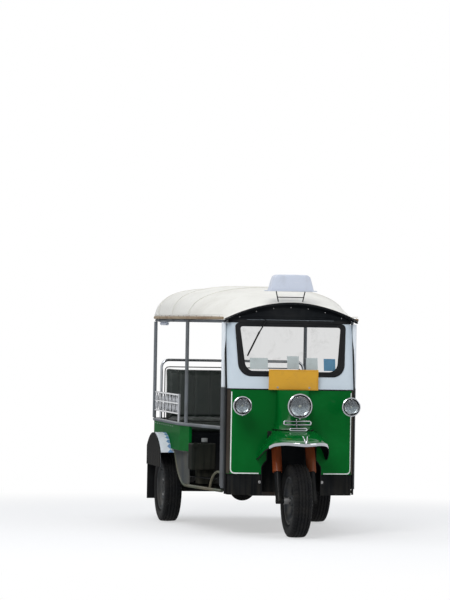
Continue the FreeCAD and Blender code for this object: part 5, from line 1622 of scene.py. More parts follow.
@dataclass
class FrontWall:
    """Painted front wall: pinstripes, windscreen trim, cards behind the glass, bolts and seam.

    Attributes:
        face_y: Y of the face at its outer edges.
        bulge: How far the middle stands ahead.
        half: Half width of the face.
        corner: Radius of its upright corners.
        seam_z: Seam between the green wall and the windscreen panel.
        top_z: Top of the windscreen panel.
        lean: How far the windscreen panel leans back over its height.
        green_z: Bottom of the green wall.
        skirt_z: Bottom of the skirt.
        arch_half: Half width of the wheel arch.
        arch_top: Height of its crown.
        arch_round: Radius of its crown.
        slot_half: Half width of the slot above it, which the fork's clamps turn in.
        rubber_outer: Foot, top, half width at both and corner radii at both of the rubber's outer edge.
        rubber_inner: The same of its inner edge.
        rubber_steps: (share inward, height) round the rubber's section.
        cards: (x, z, width, height) of the blank cards, with the blue one last.
        card_depth: How far the cards lie behind the wall's face.
        rivet_zs: Heights of the rivets up the wall's sides.
    """

    face_y: float = -1.005
    bulge: float = 0.022
    half: float = 0.482
    corner: float = 0.062
    seam_z: float = 1.084
    top_z: float = 1.600
    lean: float = 0.095
    green_z: float = 0.455
    skirt_z: float = 0.300
    arch_half: float = 0.224
    arch_top: float = 0.640
    arch_round: float = 0.258
    slot_half: float = 0.186
    rubber_outer: tuple[float, ...] = (1.179, 1.576, 0.401, 0.423, 0.090, 0.034)
    rubber_inner: tuple[float, ...] = (1.217, 1.5485, 0.346, 0.383, 0.062, 0.020)
    rubber_steps: tuple[tuple[float, float], ...] = (
        (0.0, 0.0006), (0.02, 0.0040), (0.08, 0.0066), (0.30, 0.0078), (0.42, 0.0074), (0.47, 0.0056),
        (0.55, 0.0056), (0.60, 0.0074), (0.78, 0.0068), (0.92, 0.0040), (1.0, -0.0065))
    cards: tuple[tuple[float, float, float, float], ...] = (
        (-0.315, 1.232, 0.135, 0.084), (-0.034, 1.238, 0.090, 0.094), (0.111, 1.231, 0.090, 0.090),
        (0.248, 1.226, 0.090, 0.090))
    card_depth: float = 0.0155
    rivet_zs: tuple[float, ...] = (0.56, 0.72, 0.88, 1.03)

    def face(self, x: float, z: float, out: float = 0.0) -> Vector:
        """A point on the front wall.

        Args:
            x: Distance from the middle; past the corner it runs on round the side.
            z: Height.
            out: How far outside the wall.

        Returns:
            The point.
        """
        side = 1.0 if x >= 0 else -1.0
        reach = abs(x)
        flat = self.half - self.corner
        back = self.lean * max(z - self.seam_z, 0.0) / (self.top_z - self.seam_z)
        if reach <= flat:
            slope = 2.0 * self.bulge * reach / (flat * flat)
            normal = Vector((slope * side, -1.0, 0.0)).normalized()
            spot = Vector((reach * side, self.face_y - self.bulge * (1.0 - (reach / flat) ** 2), z))
        else:
            turn = min((reach - flat) / self.corner, math.pi / 2)
            past = reach - flat - turn * self.corner
            normal = Vector((math.sin(turn) * side, -math.cos(turn), 0.0))
            centre = Vector((flat * side, self.face_y + self.corner, z))
            spot = centre + normal * self.corner + Vector((0.0, past, 0.0))
        return spot + normal * out + Vector((0.0, back, 0.0))

    def band(self, path: Sequence[tuple[float, float]], width: float, thick: float) -> Form:
        """A thin band of paint or tape that follows the wall.

        Args:
            path: (x, z) points of its middle.
            width: Its width.
            thick: How far it stands out.

        Returns:
            Its form.
        """
        rows = []
        for i, (x, z) in enumerate(path):
            before, after = path[max(i - 1, 0)], path[min(i + 1, len(path) - 1)]
            run = Vector((after[0] - before[0], after[1] - before[1])).normalized()
            across = Vector((-run.y, run.x)) * width / 2
            rows.append([self.face(x + side * across.x, z + side * across.y, out)
                         for side, out in ((-1.0, 0.0002), (-1.0, thick), (1.0, thick), (1.0, 0.0002))])
        return Form.grid(rows, True)

    def stripes(self) -> Form:
        """White pinstripe down each outer edge of the green wall and in along its foot.

        Returns:
            Its form.
        """
        form = Form()
        edge, foot, radius = 0.456, self.green_z + 0.006, 0.030
        path = [(edge, z) for z in between(self.seam_z - 0.02, foot + radius, 40)]
        path += [(edge - radius * (1 - math.cos(a)), foot + radius * (1 - math.sin(a)))
                 for a in between(0.1, math.pi / 2, 10)]
        path += [(x, foot) for x in between(edge - radius - 0.01, self.arch_half + 0.022, 16)]
        form.add(self.band(path, 0.008, 0.0009))
        form.add(self.band([(-x, z) for x, z in path], 0.008, 0.0009))
        return form

    def seam(self) -> Form:
        """Rounded bead over the seam below the windscreen panel."""
        return Form.tube([self.face(x, self.seam_z, 0.0005) for x in between(-0.535, 0.535, 90)], 0.0042, 8)

    def screen_line(self, inward: float, out: float, count: int = 30) -> list[Vector]:
        """A line round the windscreen within the width of its rubber.

        Args:
            inward: 0 on the rubber's outer edge and 1 on its inner edge.
            out: How far ahead of the wall.
            count: Points along each long side.

        Returns:
            The closed line of points.
        """
        low, top, low_half, top_half, big, small = (
            a + (b - a) * inward for a, b in zip(self.rubber_outer, self.rubber_inner))
        slope = (top_half - low_half) / (top - low)
        right = []
        for a in between(0.0, math.pi / 2, 9):
            z = low + big - big * math.cos(a)
            right.append((low_half - big + big * math.sin(a) + slope * (z - low), z))
        right += [(low_half + slope * (z - low), z) for z in between(low + big, top - small, 12)[1:-1]]
        for a in between(0.0, math.pi / 2, 7):
            z = top - small + small * math.sin(a)
            right.append((top_half - small + small * math.cos(a) - slope * (top - z), z))
        left = [(-x, z) for x, z in reversed(right)]
        foot = [(x, low) for x in between(-right[0][0], right[0][0], count)[1:-1]]
        head = [(x, top) for x in between(right[-1][0], -right[-1][0], count)[1:-1]]
        return [self.face(x, z, out) for x, z in right + head + left + foot]

    def rubber(self) -> Form:
        """Windscreen rubber: a wide rounded lip with a groove for its locking strip."""
        return Form.grid([self.screen_line(inward, out) for inward, out in self.rubber_steps], True)

    def card(self, x: float, z: float, wide: float, tall: float) -> Form:
        """One blank card stuck inside the glass.

        Args:
            x: Its edge with the smaller X.
            z: Its lower edge.
            wide: Its width.
            tall: Its height.

        Returns:
            Its form.
        """
        corners = ((x, z), (x + wide, z), (x + wide, z + tall), (x, z + tall))
        return Form.slab([self.face(cx, cz, -self.card_depth) for cx, cz in corners], (0.0, 0.0012, 0.0))

    def bolts(self) -> Form:
        """Bolts along the skirt and up the sides of the green wall.

        Returns:
            Their form.
        """
        form = Form()
        for x in (-0.236, 0.236):
            form.add(Form.bolt(self.face(x, 0.397, -0.0078), (0.0, -1.0, 0.0), 0.0085, 0.008))
        for side in (-1.0, 1.0):
            for z in self.rivet_zs:
                form.add(Form.rivet(self.face(side * 0.515, z), (side, 0.0, 0.0), 0.006))
        return form

    def edge_strips(self) -> tuple[Form, Form]:
        """Rolled edge strips down the wall's sides and round the wheel arch.

        Returns:
            The upright strips and the arch's strip.
        """
        upright = Form()
        for side in (-1.0, 1.0):
            path = [self.face(side * (self.half + 0.030), z, 0.004)
                    for z in between(self.skirt_z + 0.004, self.top_z - 0.010, 40)]
            upright.add(Form.tube(path, 0.0085, 10))
        arch = Form()
        turn = math.asin(self.arch_half / self.arch_round)
        end = math.asin(self.slot_half / self.arch_round)
        path = [(self.arch_half, z) for z in between(self.skirt_z + 0.004, 0.505, 8)]
        path += [(self.arch_round * math.sin(a), self.arch_top + self.arch_round * (math.cos(a) - 1.0))
                 for a in between(turn, end, 8)]
        path += [(self.slot_half, z) for z in between(0.575, 0.690, 6)]
        for side in (-1.0, 1.0):
            arch.add(Form.tube([self.face(x * side, z, 0.0012) for x, z in path], 0.0045, 8,
                               upright=(0.0, -1.0, 0.0)))
        return upright, arch

    def corner_paint(self) -> Form:
        """Dark strips of paint round the upright corners of the green wall.

        Returns:
            Their form.
        """
        form = Form()
        for side in (-1.0, 1.0):
            rows = [[self.face(side * x, z, 0.0008) for x in between(self.half - 0.020, self.half + 0.022, 10)]
                    for z in between(self.green_z + 0.002, self.seam_z - 0.002, 30)]
            form.add(Form.grid(rows))
        return form

    def wiper_blade(self) -> Form:
        """Sprung holder and rubber edge of the wiper's blade.

        Returns:
            Their form.
        """
        spots = [(-0.243 - 0.093 * t, 1.512 - 0.182 * t) for t in between(0.0, 1.0, 15)]
        section = ((-0.0055, 0.0140), (-0.0045, 0.0095), (0.0, 0.0078), (0.0045, 0.0095), (0.0055, 0.0140))
        holder = [self.face(x, z, 0.0175) for x, z in spots]
        form = Form.tube(holder, [0.0030 + 0.0036 * math.sin(math.pi * t) for t in between(0.05, 0.95, 15)], 10)
        return form.add(Form.grid([[self.face(x - wide * 0.89, z + wide * 0.455, out) for x, z in spots]
                                   for wide, out in section]))

    def valance(self) -> Form:
        """Black strip between the windscreen rubber and the visor.

        Returns:
            Its form.
        """
        line = between(-self.half + 0.010, self.half - 0.010, 60)
        section = ((0.024, 0.0002), (0.023, 0.0022), (0.001, 0.0022))
        return Form.grid([[self.face(x, self.top_z - down, out) for x in line] for down, out in section])

    def build(self, palette: Palette) -> None:
        """Makes every piece of the front wall.

        Args:
            palette: The finishes.
        """
        Piece("front_pinstripes", self.stripes()).build(palette, "stripe_paint")
        Piece("front_seam_bead", self.seam()).build(palette, "black_rubber")
        rubber = Piece("windscreen_rubber_lip", self.rubber()).build(palette, "black_rubber", 60.0)
        rubber.stands_for("windscreen_rubber").finish_of("black_rubber")
        white = Form()
        for card in self.cards[:-1]:
            white.add(self.card(*card))
        Piece("blank_cards", white).build(palette, "card")
        Piece("blue_card", self.card(*self.cards[-1])).build(palette, "blue_card")
        Piece("front_bolts", self.bolts()).build(palette, "steel").finish_of("steel")
        upright, arch = self.edge_strips()
        Piece("front_edge_strips", upright).build(palette, "black_rubber")
        Piece("front_corner_paint", self.corner_paint()).build(palette, "corner_paint")
        Piece("wiper_blade", self.wiper_blade()).build(palette, "black_rubber")
        Piece("screen_valance", self.valance()).build(palette, "black_rubber")
        Piece("wheel_arch_strip", arch).build(palette, "black_rubber")


@dataclass
class Lamp:
    """One round lamp: fluted lens, bright dish, bulb and bezel trim.

    Attributes:
        name: What the lamp is.
        centre: Middle of its front rim, in metres.
        radius: Outer radius of its bezel.
        inner: Radius of its glass.
        dome: How far the glass stands out.
        flutes: Ribs moulded across the lens.
    """

    name: str
    centre: tuple[float, float, float]
    radius: float
    inner: float
    dome: float
    flutes: int

    def lens(self) -> Form:
        """The domed lens with upright ribs.

        Returns:
            Its form.
        """
        rings, sides = 22, 96
        rows = []
        for j in range(rings):
            share = j / (rings - 1)
            row = []
            for k in range(sides):
                angle = math.tau * k / sides
                x, z = math.sin(angle) * self.inner * share, math.cos(angle) * self.inner * share
                bulge = self.dome * math.sqrt(max(1.0 - share ** 2, 0.0)) if share < 1 else 0.0
                rib = 0.0007 * math.cos(x / self.inner * self.flutes * math.pi) if share < 0.93 else 0.0
                row.append(Vector(self.centre) + Vector((x, 0.0035 - bulge + rib, z)))
            rows.append(row)
        edge = [p + Vector((0.0, 0.0045, 0.0)) for p in rows[-1]]
        back = [Vector(self.centre) + Vector((0.0, 0.008, 0.0))] * sides
        return Form.grid(rows, True).add(Form.grid([rows[-1], edge, back], True))

    def dish(self) -> Form:
        """The bright dish behind the lens.

        Returns:
            Its form.
        """
        deep, sheet, rim = 0.0128, 0.0014, self.inner * 0.985
        bowl = [(deep - 0.0090 * (r / self.inner) ** 2, r) for r in between(rim, 0.0, 16)]
        return Form.turned([(deep + sheet, 0.0), (deep + sheet, rim)] + bowl, self.centre, (0.0, 1.0, 0.0), 64)

    def bulb(self) -> Form:
        """The bulb and its shield in the middle of the dish.

        Returns:
            Its form.
        """
        centre = Vector(self.centre) + Vector((0.0, 0.0122, 0.0))
        size = self.inner * 0.13
        profile = [(0.0, size * 0.9)] + [(size * 0.75 * math.sin(a), size * math.cos(a))
                                        for a in between(0.1, math.pi / 2, 8)]
        return Form.turned(profile, centre, (0.0, -1.0, 0.0), 28)

    def ring(self, radius: float, back: float, thick: float) -> Form:
        """A round bead about the lamp's middle.

        Args:
            radius: Its radius.
            back: How far it lies behind the lamp's rim.
            thick: Its own radius.

        Returns:
            Its form.
        """
        spots = [Vector(self.centre) + Vector((math.sin(a) * radius, back, math.cos(a) * radius))
                 for a in between(0.0, math.tau, 97)[:-1]]
        return Form.tube(spots, thick, 10, closed=True, upright=(0.0, 1.0, 0.0))

    def trim(self) -> Form:
        """Rolled ring on the bezel and its clamp screw.

        Returns:
            Its form.
        """
        lug = Vector(self.centre) + Vector((0.0, 0.008, -self.radius))
        screw = Form.turned([(-0.006, 0.0045), (0.006, 0.0045), (0.007, 0.003)], lug, (0.0, 1.0, 0.0), 14)
        return self.ring(self.radius - 0.0022, 0.0075, 0.0028).add(screw)

    def build(self, palette: Palette) -> None:
        """Makes every piece of the lamp.

        Args:
            palette: The finishes.
        """
        glass = Piece(f"{self.name}_lens", self.lens()).build(palette, "lamp_glass", 60.0)
        glass.stands_for("lamp_glasses").finish_of("lamp_glass")
        Piece(f"{self.name}_dish", self.dish()).build(palette, "reflector")
        Piece(f"{self.name}_bulb", self.bulb()).build(palette, "bulb_glass")
        Piece(f"{self.name}_trim", self.trim()).build(palette, "chrome")
        gasket = self.ring(self.inner + 0.0012, 0.0005, 0.0034)
        Piece(f"{self.name}_gasket", gasket).build(palette, "black_rubber")


@dataclass
class LampSet:
    """The headlamp on the nose and the two bullet lamps beside it.

    Attributes:
        lamps: The three lamps.
    """

    lamps: tuple[Lamp, ...] = (
        Lamp("headlamp", (0.0, -1.295, 0.968), 0.092, 0.0797, 0.012, 17),
        Lamp("right_side_lamp", (-0.411, -1.195, 0.964), 0.070, 0.0587, 0.009, 13),
        Lamp("left_side_lamp", (0.411, -1.195, 0.964), 0.070, 0.0587, 0.009, 13))

    def build(self, palette: Palette) -> None:
        """Makes every lamp.

        Args:
            palette: The finishes.
        """
        for lamp in self.lamps:
            lamp.build(palette)


@dataclass
class Nose:
    """Nose column, the fender hood below it and their bright trim.

    Attributes:
        wall_y: Where the column and the hood meet the front wall.
        rows: Height, half width and reach of the column, top to bottom.
        hood_half: Half width of the hood at the wall.
        hood_reach: How far the hood stands ahead of the wall.
        lip_rows: Height of the hood's lip by how far round it lies, 1 at the wall and 0 at the front.
        root: (x, z) of the hood's root up the wall.
        plate: Half width, low edge, height and front face of the front plate.
    """

    wall_y: float = -1.014
    rows: tuple[tuple[float, float, float], ...] = (
        (1.080, 0.122, 0.095), (1.040, 0.122, 0.104), (0.990, 0.122, 0.116), (0.930, 0.122, 0.130),
        (0.875, 0.123, 0.147), (0.835, 0.126, 0.160), (0.806, 0.134, 0.174), (0.790, 0.146, 0.192))
    hood_half: float = 0.265
    hood_reach: float = 0.490
    lip_rows: tuple[tuple[float, float], ...] = (
        (1.0, 0.566), (0.97, 0.602), (0.90, 0.645), (0.75, 0.677), (0.60, 0.687), (0.45, 0.690), (0.0, 0.682))
    root: tuple[tuple[float, float], ...] = ((-0.240, 0.630), (-0.212, 0.682), (-0.182, 0.722), (-0.156, 0.762))
    plate: tuple[float, float, float, float] = (0.188, 1.082, 0.151, -1.056)

    def outline(self, z: float, half: float, reach: float, count: int = 41) -> list[Vector]:
        """The column's outline seen from above.

        Args:
            z: Its height.
            half: Half width.
            reach: How far it stands ahead of the wall.
            count: How many points.

        Returns:
            The points, right to left.
        """
        y = self.wall_y
        right = [(-half, y), (-half, y - 0.25 * reach), (-half, y - 0.50 * reach), (-0.94 * half, y - 0.66 * reach)]
        front = [(half * 0.82 * t, y - reach * (1.0 - 0.26 * t * t)) for t in between(-1.0, 1.0, 11)]
        line = right + front + [(-x, py) for x, py in reversed(right)]
        return evened([Vector((x, py, z)) for x, py in line], count, 3)

    def lip_z(self, share: float) -> float:
        """Height of the lip.

        Args:
            share: 1 at the wall and 0 at the front.

        Returns:
            The height.
        """
        for (a, za), (b, zb) in zip(self.lip_rows, self.lip_rows[1:]):
            if share >= b:
                return zb + (za - zb) * (share - b) / (a - b)
        return self.lip_rows[-1][1]

    def lip(self, start: float = 0.0, end: float = 180.0, count: int = 73) -> list[Vector]:
        """The hood's lip between two angles round it.

        Args:
            start: First angle in degrees, 0 at the right end on the wall.
            end: Last angle.
            count: How many points.

        Returns:
            The points.
        """
        angles = [math.radians(a) for a in between(start, end, count)]
        line = [Vector((-self.hood_half * math.cos(a), self.wall_y - self.hood_reach * math.sin(a),
                        self.lip_z(abs(math.cos(a))))) for a in angles]
        return evened(line, count, 2)

    def hood(self, inset: float = 0.0) -> Form:
        """The hood's skin, from the wall and the column's foot down to the lip.

        Args:
            inset: How far the skin is moved inward, for its underside.

        Returns:
            Its form.
        """
        y = self.wall_y
        foot = self.outline(*(size - 0.004 for size in self.rows[-1]))
        side = [Vector((x, y, z)) for x, z in ((-self.hood_half, self.lip_z(1.0)),) + self.root]
        upper = evened(side + foot + opposite(side), 73, 1)
        lower = self.lip()
        deepest = Vector((0.0, y - 0.16, 0.560))
        rows = []
        for k in range(15):
            t = k / 14
            row = []
            for a, d in zip(upper, lower):
                step = d - a
                b, c = a + step * 0.45, a + step * 0.98
                b.z, c.z = a.z + step.z * 0.16, a.z + step.z * 0.52
                spot = a * (1 - t) ** 3 + b * (3 * t * (1 - t) ** 2) + c * (3 * t * t * (1 - t)) + d * t ** 3
                row.append(spot + (deepest - spot).normalized() * inset)
            rows.append(row)
        return Form.grid(rows)

    def band_round(self, start: float, end: float, tall: float, thick: float) -> Form:
        """A strip round the hood's lip.

        Args:
            start: First angle in degrees.
            end: Last angle.
            tall: Its height.
            thick: How far it stands out.

        Returns:
            Its form.
        """
        section = ((-0.004, tall), (thick * 0.6, tall), (thick, tall * 0.8), (thick * 1.15, tall * 0.3),
                   (thick, -0.002), (thick * 0.4, -0.005), (-0.005, -0.003))
        line = self.lip(start, end, 61)
        rows = []
        for i, spot in enumerate(line):
            run = line[min(i + 1, len(line) - 1)] - line[max(i - 1, 0)]
            out = Vector((run.y, -run.x, 0.0)).normalized()
            out = out if out.y < 0 or out.x * spot.x > 0 else -out
            rows.append([spot + out * ahead + Vector((0.0, 0.0, z)) for ahead, z in section])
        return Form.grid(rows)

    def ornament(self) -> Form:
        """The bright V at the hood's tip.

        Returns:
            Its form.
        """
        form = Form()
        tip_y = self.wall_y - self.hood_reach
        for side in (-1.0, 1.0):
            line = curve_through((0.0, tip_y - 0.006, 0.692), (side * 0.007, tip_y + 0.001, 0.722),
                                 (side * 0.017, tip_y + 0.030, 0.752), 10)
            form.add(Form.tube(line, [0.0062 - 0.0022 * t for t in between(0.0, 1.0, 10)], 10))
        return form

    def grille_bars(self) -> Form:
        """Upright middle bar and the short bar below the two grille loops.

        Returns:
            Their form.
        """
        line = [Vector((0.0, self.wall_y - self.reach(z) - 0.008, z)) for z in between(0.868, 0.762, 16)]
        form = Form.tube(line, 0.0042, 10)
        z = 0.772
        bar = [Vector((x, self.wall_y - self.reach(z) + 0.26 * self.reach(z) * (x / 0.11) ** 2 - 0.006, z))
               for x in between(-0.036, 0.036, 15)]
        return form.add(Form.tube(bar, 0.0040, 10))

    def reach(self, z: float) -> float:
        """How far the middle of the nose stands ahead of the wall.

        Args:
            z: The height.

        Returns:
            The reach.
        """
        for (za, _, ra), (zb, _, rb) in zip(self.rows, self.rows[1:]):
            if z >= zb:
                return ra + (rb - ra) * (za - z) / (za - zb)
        return self.rows[-1][2] + (self.rows[-1][0] - z) * 1.6

    def seams(self) -> Form:
        """Dark seams where the column meets the wall and the hood.

        Returns:
            Their form.
        """
        form = Form()
        for side in (-1.0, 1.0):
            line = [Vector((side * (half + 0.001), self.wall_y - 0.006, z)) for z, half, _ in self.rows]
            form.add(Form.tube(evened(line, 30, 2), 0.0032, 8))
        z, half, reach = self.rows[-1]
        return form.add(Form.tube(self.outline(z - 0.001, half + 0.001, reach + 0.001), 0.0030, 8))

    def plate_trim(self) -> Form:
        """Raised border of the front plate, from the back of its face.

        Returns:
            Its form.
        """
        half, low, tall, y = self.plate
        inset = 0.007
        corners = round_cornered((inset - half, low + inset), (half - inset, low + tall - inset), 0.014, 6)
        path = [Vector((p.x, y - 0.0004, p.y)) for p in corners]
        return Form.tube(path, 0.0022, 8, closed=True, upright=(0.0, 1.0, 0.0))

    def build(self, palette: Palette) -> None:
        """Makes every piece of the nose.

        Args:
            palette: The finishes.
        """
        column = Form.grid([self.outline(z, half, reach) for z, half, reach in self.rows])
        Piece("nose_column", column).build(palette, "green_paint").refined().stands_for("nose_fairing").finish_of(
            "green_paint")
        hood = Piece("nose_hood", self.hood()).build(palette, "green_paint", 70.0).refined()
        hood.stands_for("nose_fairing").finish_of("green_paint")
        # The underside is painted dark, as painted shade under the hood.
        Piece("hood_underside", self.hood(0.005)).build(palette, "dark_paint", 70.0)
        strip = Piece("hood_lip_strip", self.band_round(33.0, 147.0, 0.017, 0.0035)).build(palette, "chrome", 60.0)
        strip.stands_for("fender_lip").finish_of("chrome")
        Piece("hood_edge", self.band_round(1.0, 179.0, 0.004, 0.0015)).build(palette, "black_rubber")
        Piece("nose_seams", self.seams()).build(palette, "black_rubber")
        Piece("nose_ornament", self.ornament()).build(palette, "chrome").finish_of("chrome")
        Piece("grille_middle", self.grille_bars()).build(palette, "chrome").finish_of("chrome")
        Piece("plate_border", self.plate_trim()).build(palette, "yellow_plate")
        _, low, _, y = self.plate
        screws = Form()
        for side in (-1.0, 1.0):
            screws.add(Form.bolt((side * 0.120, y, low + 0.018), (0.0, -1.0, 0.0), 0.0055, 0.005))
        Piece("plate_screws", screws).build(palette, "steel").finish_of("steel")


@dataclass
class Cushion:
    """A stuffed vinyl cushion with sewn channels and piping.

    Attributes:
        name: What the cushion is.
        low: Lowest corner of its room, in metres.
        high: Highest corner of its room.
        node: The plain solid that it takes the place of.
        channels: How many padded channels run across its width.
        face: The axis that its padded face looks along, "Z" or "Y".
        slack: How far the form starts inside its room.
        pull: How deep the sewn lines are drawn in.
        pucker: How wide the cloth dips beside them.
        swell: How far a point may move when the stuffing fills it.
        grid: Size of the cloth's mesh.
    """

    name: str
    low: tuple[float, float, float]
    high: tuple[float, float, float]
    node: str
    channels: int
    face: str
    slack: float = 0.012
    pull: float = 0.011
    pucker: float = 0.0085
    swell: float = 0.020
    grid: float = 0.0085

    def plain(self) -> bpy.types.Object:
        """A rounded box a little smaller than the cushion's room, meshed evenly.

        Returns:
            The object, still without a finish.
        """
        slack = Vector((self.slack, self.slack, self.slack))
        low, high = Vector(self.low) + slack, Vector(self.high) - slack
        bm = bmesh.new()
        bmesh.ops.create_cube(bm, size=1.0)
        for v in bm.verts:
            v.co = Vector(((low[i] + high[i]) / 2 + v.co[i] * (high[i] - low[i]) for i in range(3)))
        bmesh.ops.bevel(bm, geom=bm.edges[:], offset=0.020, segments=4, affect="EDGES", profile=0.5)
        mesh = bpy.data.meshes.new(self.name)
        bm.to_mesh(mesh)
        bm.free()
        made = bpy.data.objects.new(self.name, mesh)
        bpy.context.scene.collection.objects.link(made)
        remesh = made.modifiers.new("even", "REMESH")
        remesh.mode = "VOXEL"
        remesh.voxel_size = self.grid
        even = bpy.data.meshes.new_from_object(made.evaluated_get(bpy.context.evaluated_depsgraph_get()))
        made.modifiers.clear()
        made.data = even
        return made

    def fill(self, made: bpy.types.Object) -> None:
        """Args:
            made: The cushion.
        """
        start = [v.co.copy() for v in made.data.vertices]
        cloth = made.modifiers.new("stuffing", "CLOTH")
        for name, value in {"use_pressure": True, "uniform_pressure_force": 4.0, "quality": 4, "mass": 0.35,
                            "tension_stiffness": 18.0, "compression_stiffness": 18.0,
                            "bending_stiffness": 0.6}.items():
            setattr(cloth.settings, name, value)
        cloth.settings.effector_weights.gravity = 0.0
        cloth.collision_settings.use_collision = False
        cloth.point_cache.frame_start = 1
        cloth.point_cache.frame_end = 20
        scene = bpy.context.scene
        for number in range(1, 21):
            scene.frame_set(number)
        swollen = made.evaluated_get(bpy.context.evaluated_depsgraph_get()).data
        moved = [v.co.copy() for v in swollen.vertices]
        made.modifiers.clear()
        scene.frame_set(1)
        for vertex, rest, spot in zip(made.data.vertices, start, moved):
            step = spot - rest
            if step.length > self.swell:
                step *= self.swell / step.length
            vertex.co = rest + step

    def sew(self, made: bpy.types.Object) -> None:
        """Pulls the sewn lines in, adds soft creases and flattens what rests on something.

        Args:
            made: The cushion.
        """
        axis, outward = (2, 1.0) if self.face == "Z" else (1, -1.0)
        lines = between(self.low[0], self.high[0], self.channels + 1)[1:-1]
        for vertex in made.data.vertices:
            spot = vertex.co
            depth = sum(math.exp(-((spot.x - line) / self.pucker) ** 2) for line in lines)
            side = (spot[axis] - (self.low[axis] + self.high[axis]) / 2) * outward
            reach = min(max(side / ((self.high[axis] - self.low[axis]) * 0.32), 0.0), 1.0)
            spot[axis] -= outward * self.pull * depth * reach
            crease = noise.noise(Vector((spot.x * 9.0, spot.y * 7.0, spot.z * 9.0))) * 0.0016
            spot[axis] += crease * reach
            spot.z = max(spot.z, self.low[2] + 0.0006)
            spot.y = max(spot.y, self.low[1] - 0.008)
            spot.y = min(spot.y, self.high[1] + (-0.0006 if self.face == "Z" else 0.006))
            if self.face == "Y" and spot.z < self.low[2] + 0.118:
                spot.y = max(spot.y, self.low[1] + 0.0010)

    def piping(self) -> Form:
        """Piping round the edge of the padded face.

        Returns:
            Its form.
        """
        lying, inset = self.face == "Z", 0.010
        tall, level = (1, self.high[2] - 0.016) if lying else (2, self.low[1] + 0.014)
        path = round_cornered((self.low[0] + inset, self.low[tall] + inset),
                              (self.high[0] - inset, self.high[tall] - inset), 0.030, 8)
        path = [Vector((p.x, p.y, level) if lying else (p.x, level, p.y)) for p in path]
        whole = evened(path + [path[0]], 160)[:-1]
        return Form.tube(whole, 0.0042, 8, closed=True, upright=(0.0, 0.0, 1.0) if lying else (0.0, 1.0, 0.0))

    def build(self, palette: Palette) -> None:
        """Makes the cushion.

        Args:
            palette: The finishes.
        """
        made = self.plain()
        self.fill(made)
        self.sew(made)
        for face in made.data.polygons:
            face.use_smooth = True
        made.data.materials.clear()
        made.data.materials.append(palette.get("dark_vinyl"))
        finer = made.modifiers.new("refining", "SUBSURF")
        finer.levels = finer.render_levels = 1
        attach(made, Body.CHASSIS.value)
        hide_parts(self.node)
        Piece(f"{self.name}_piping", self.piping()).build(palette, "black_rubber")
        LOG.info("%s: %d corners", self.name, len(made.data.vertices))


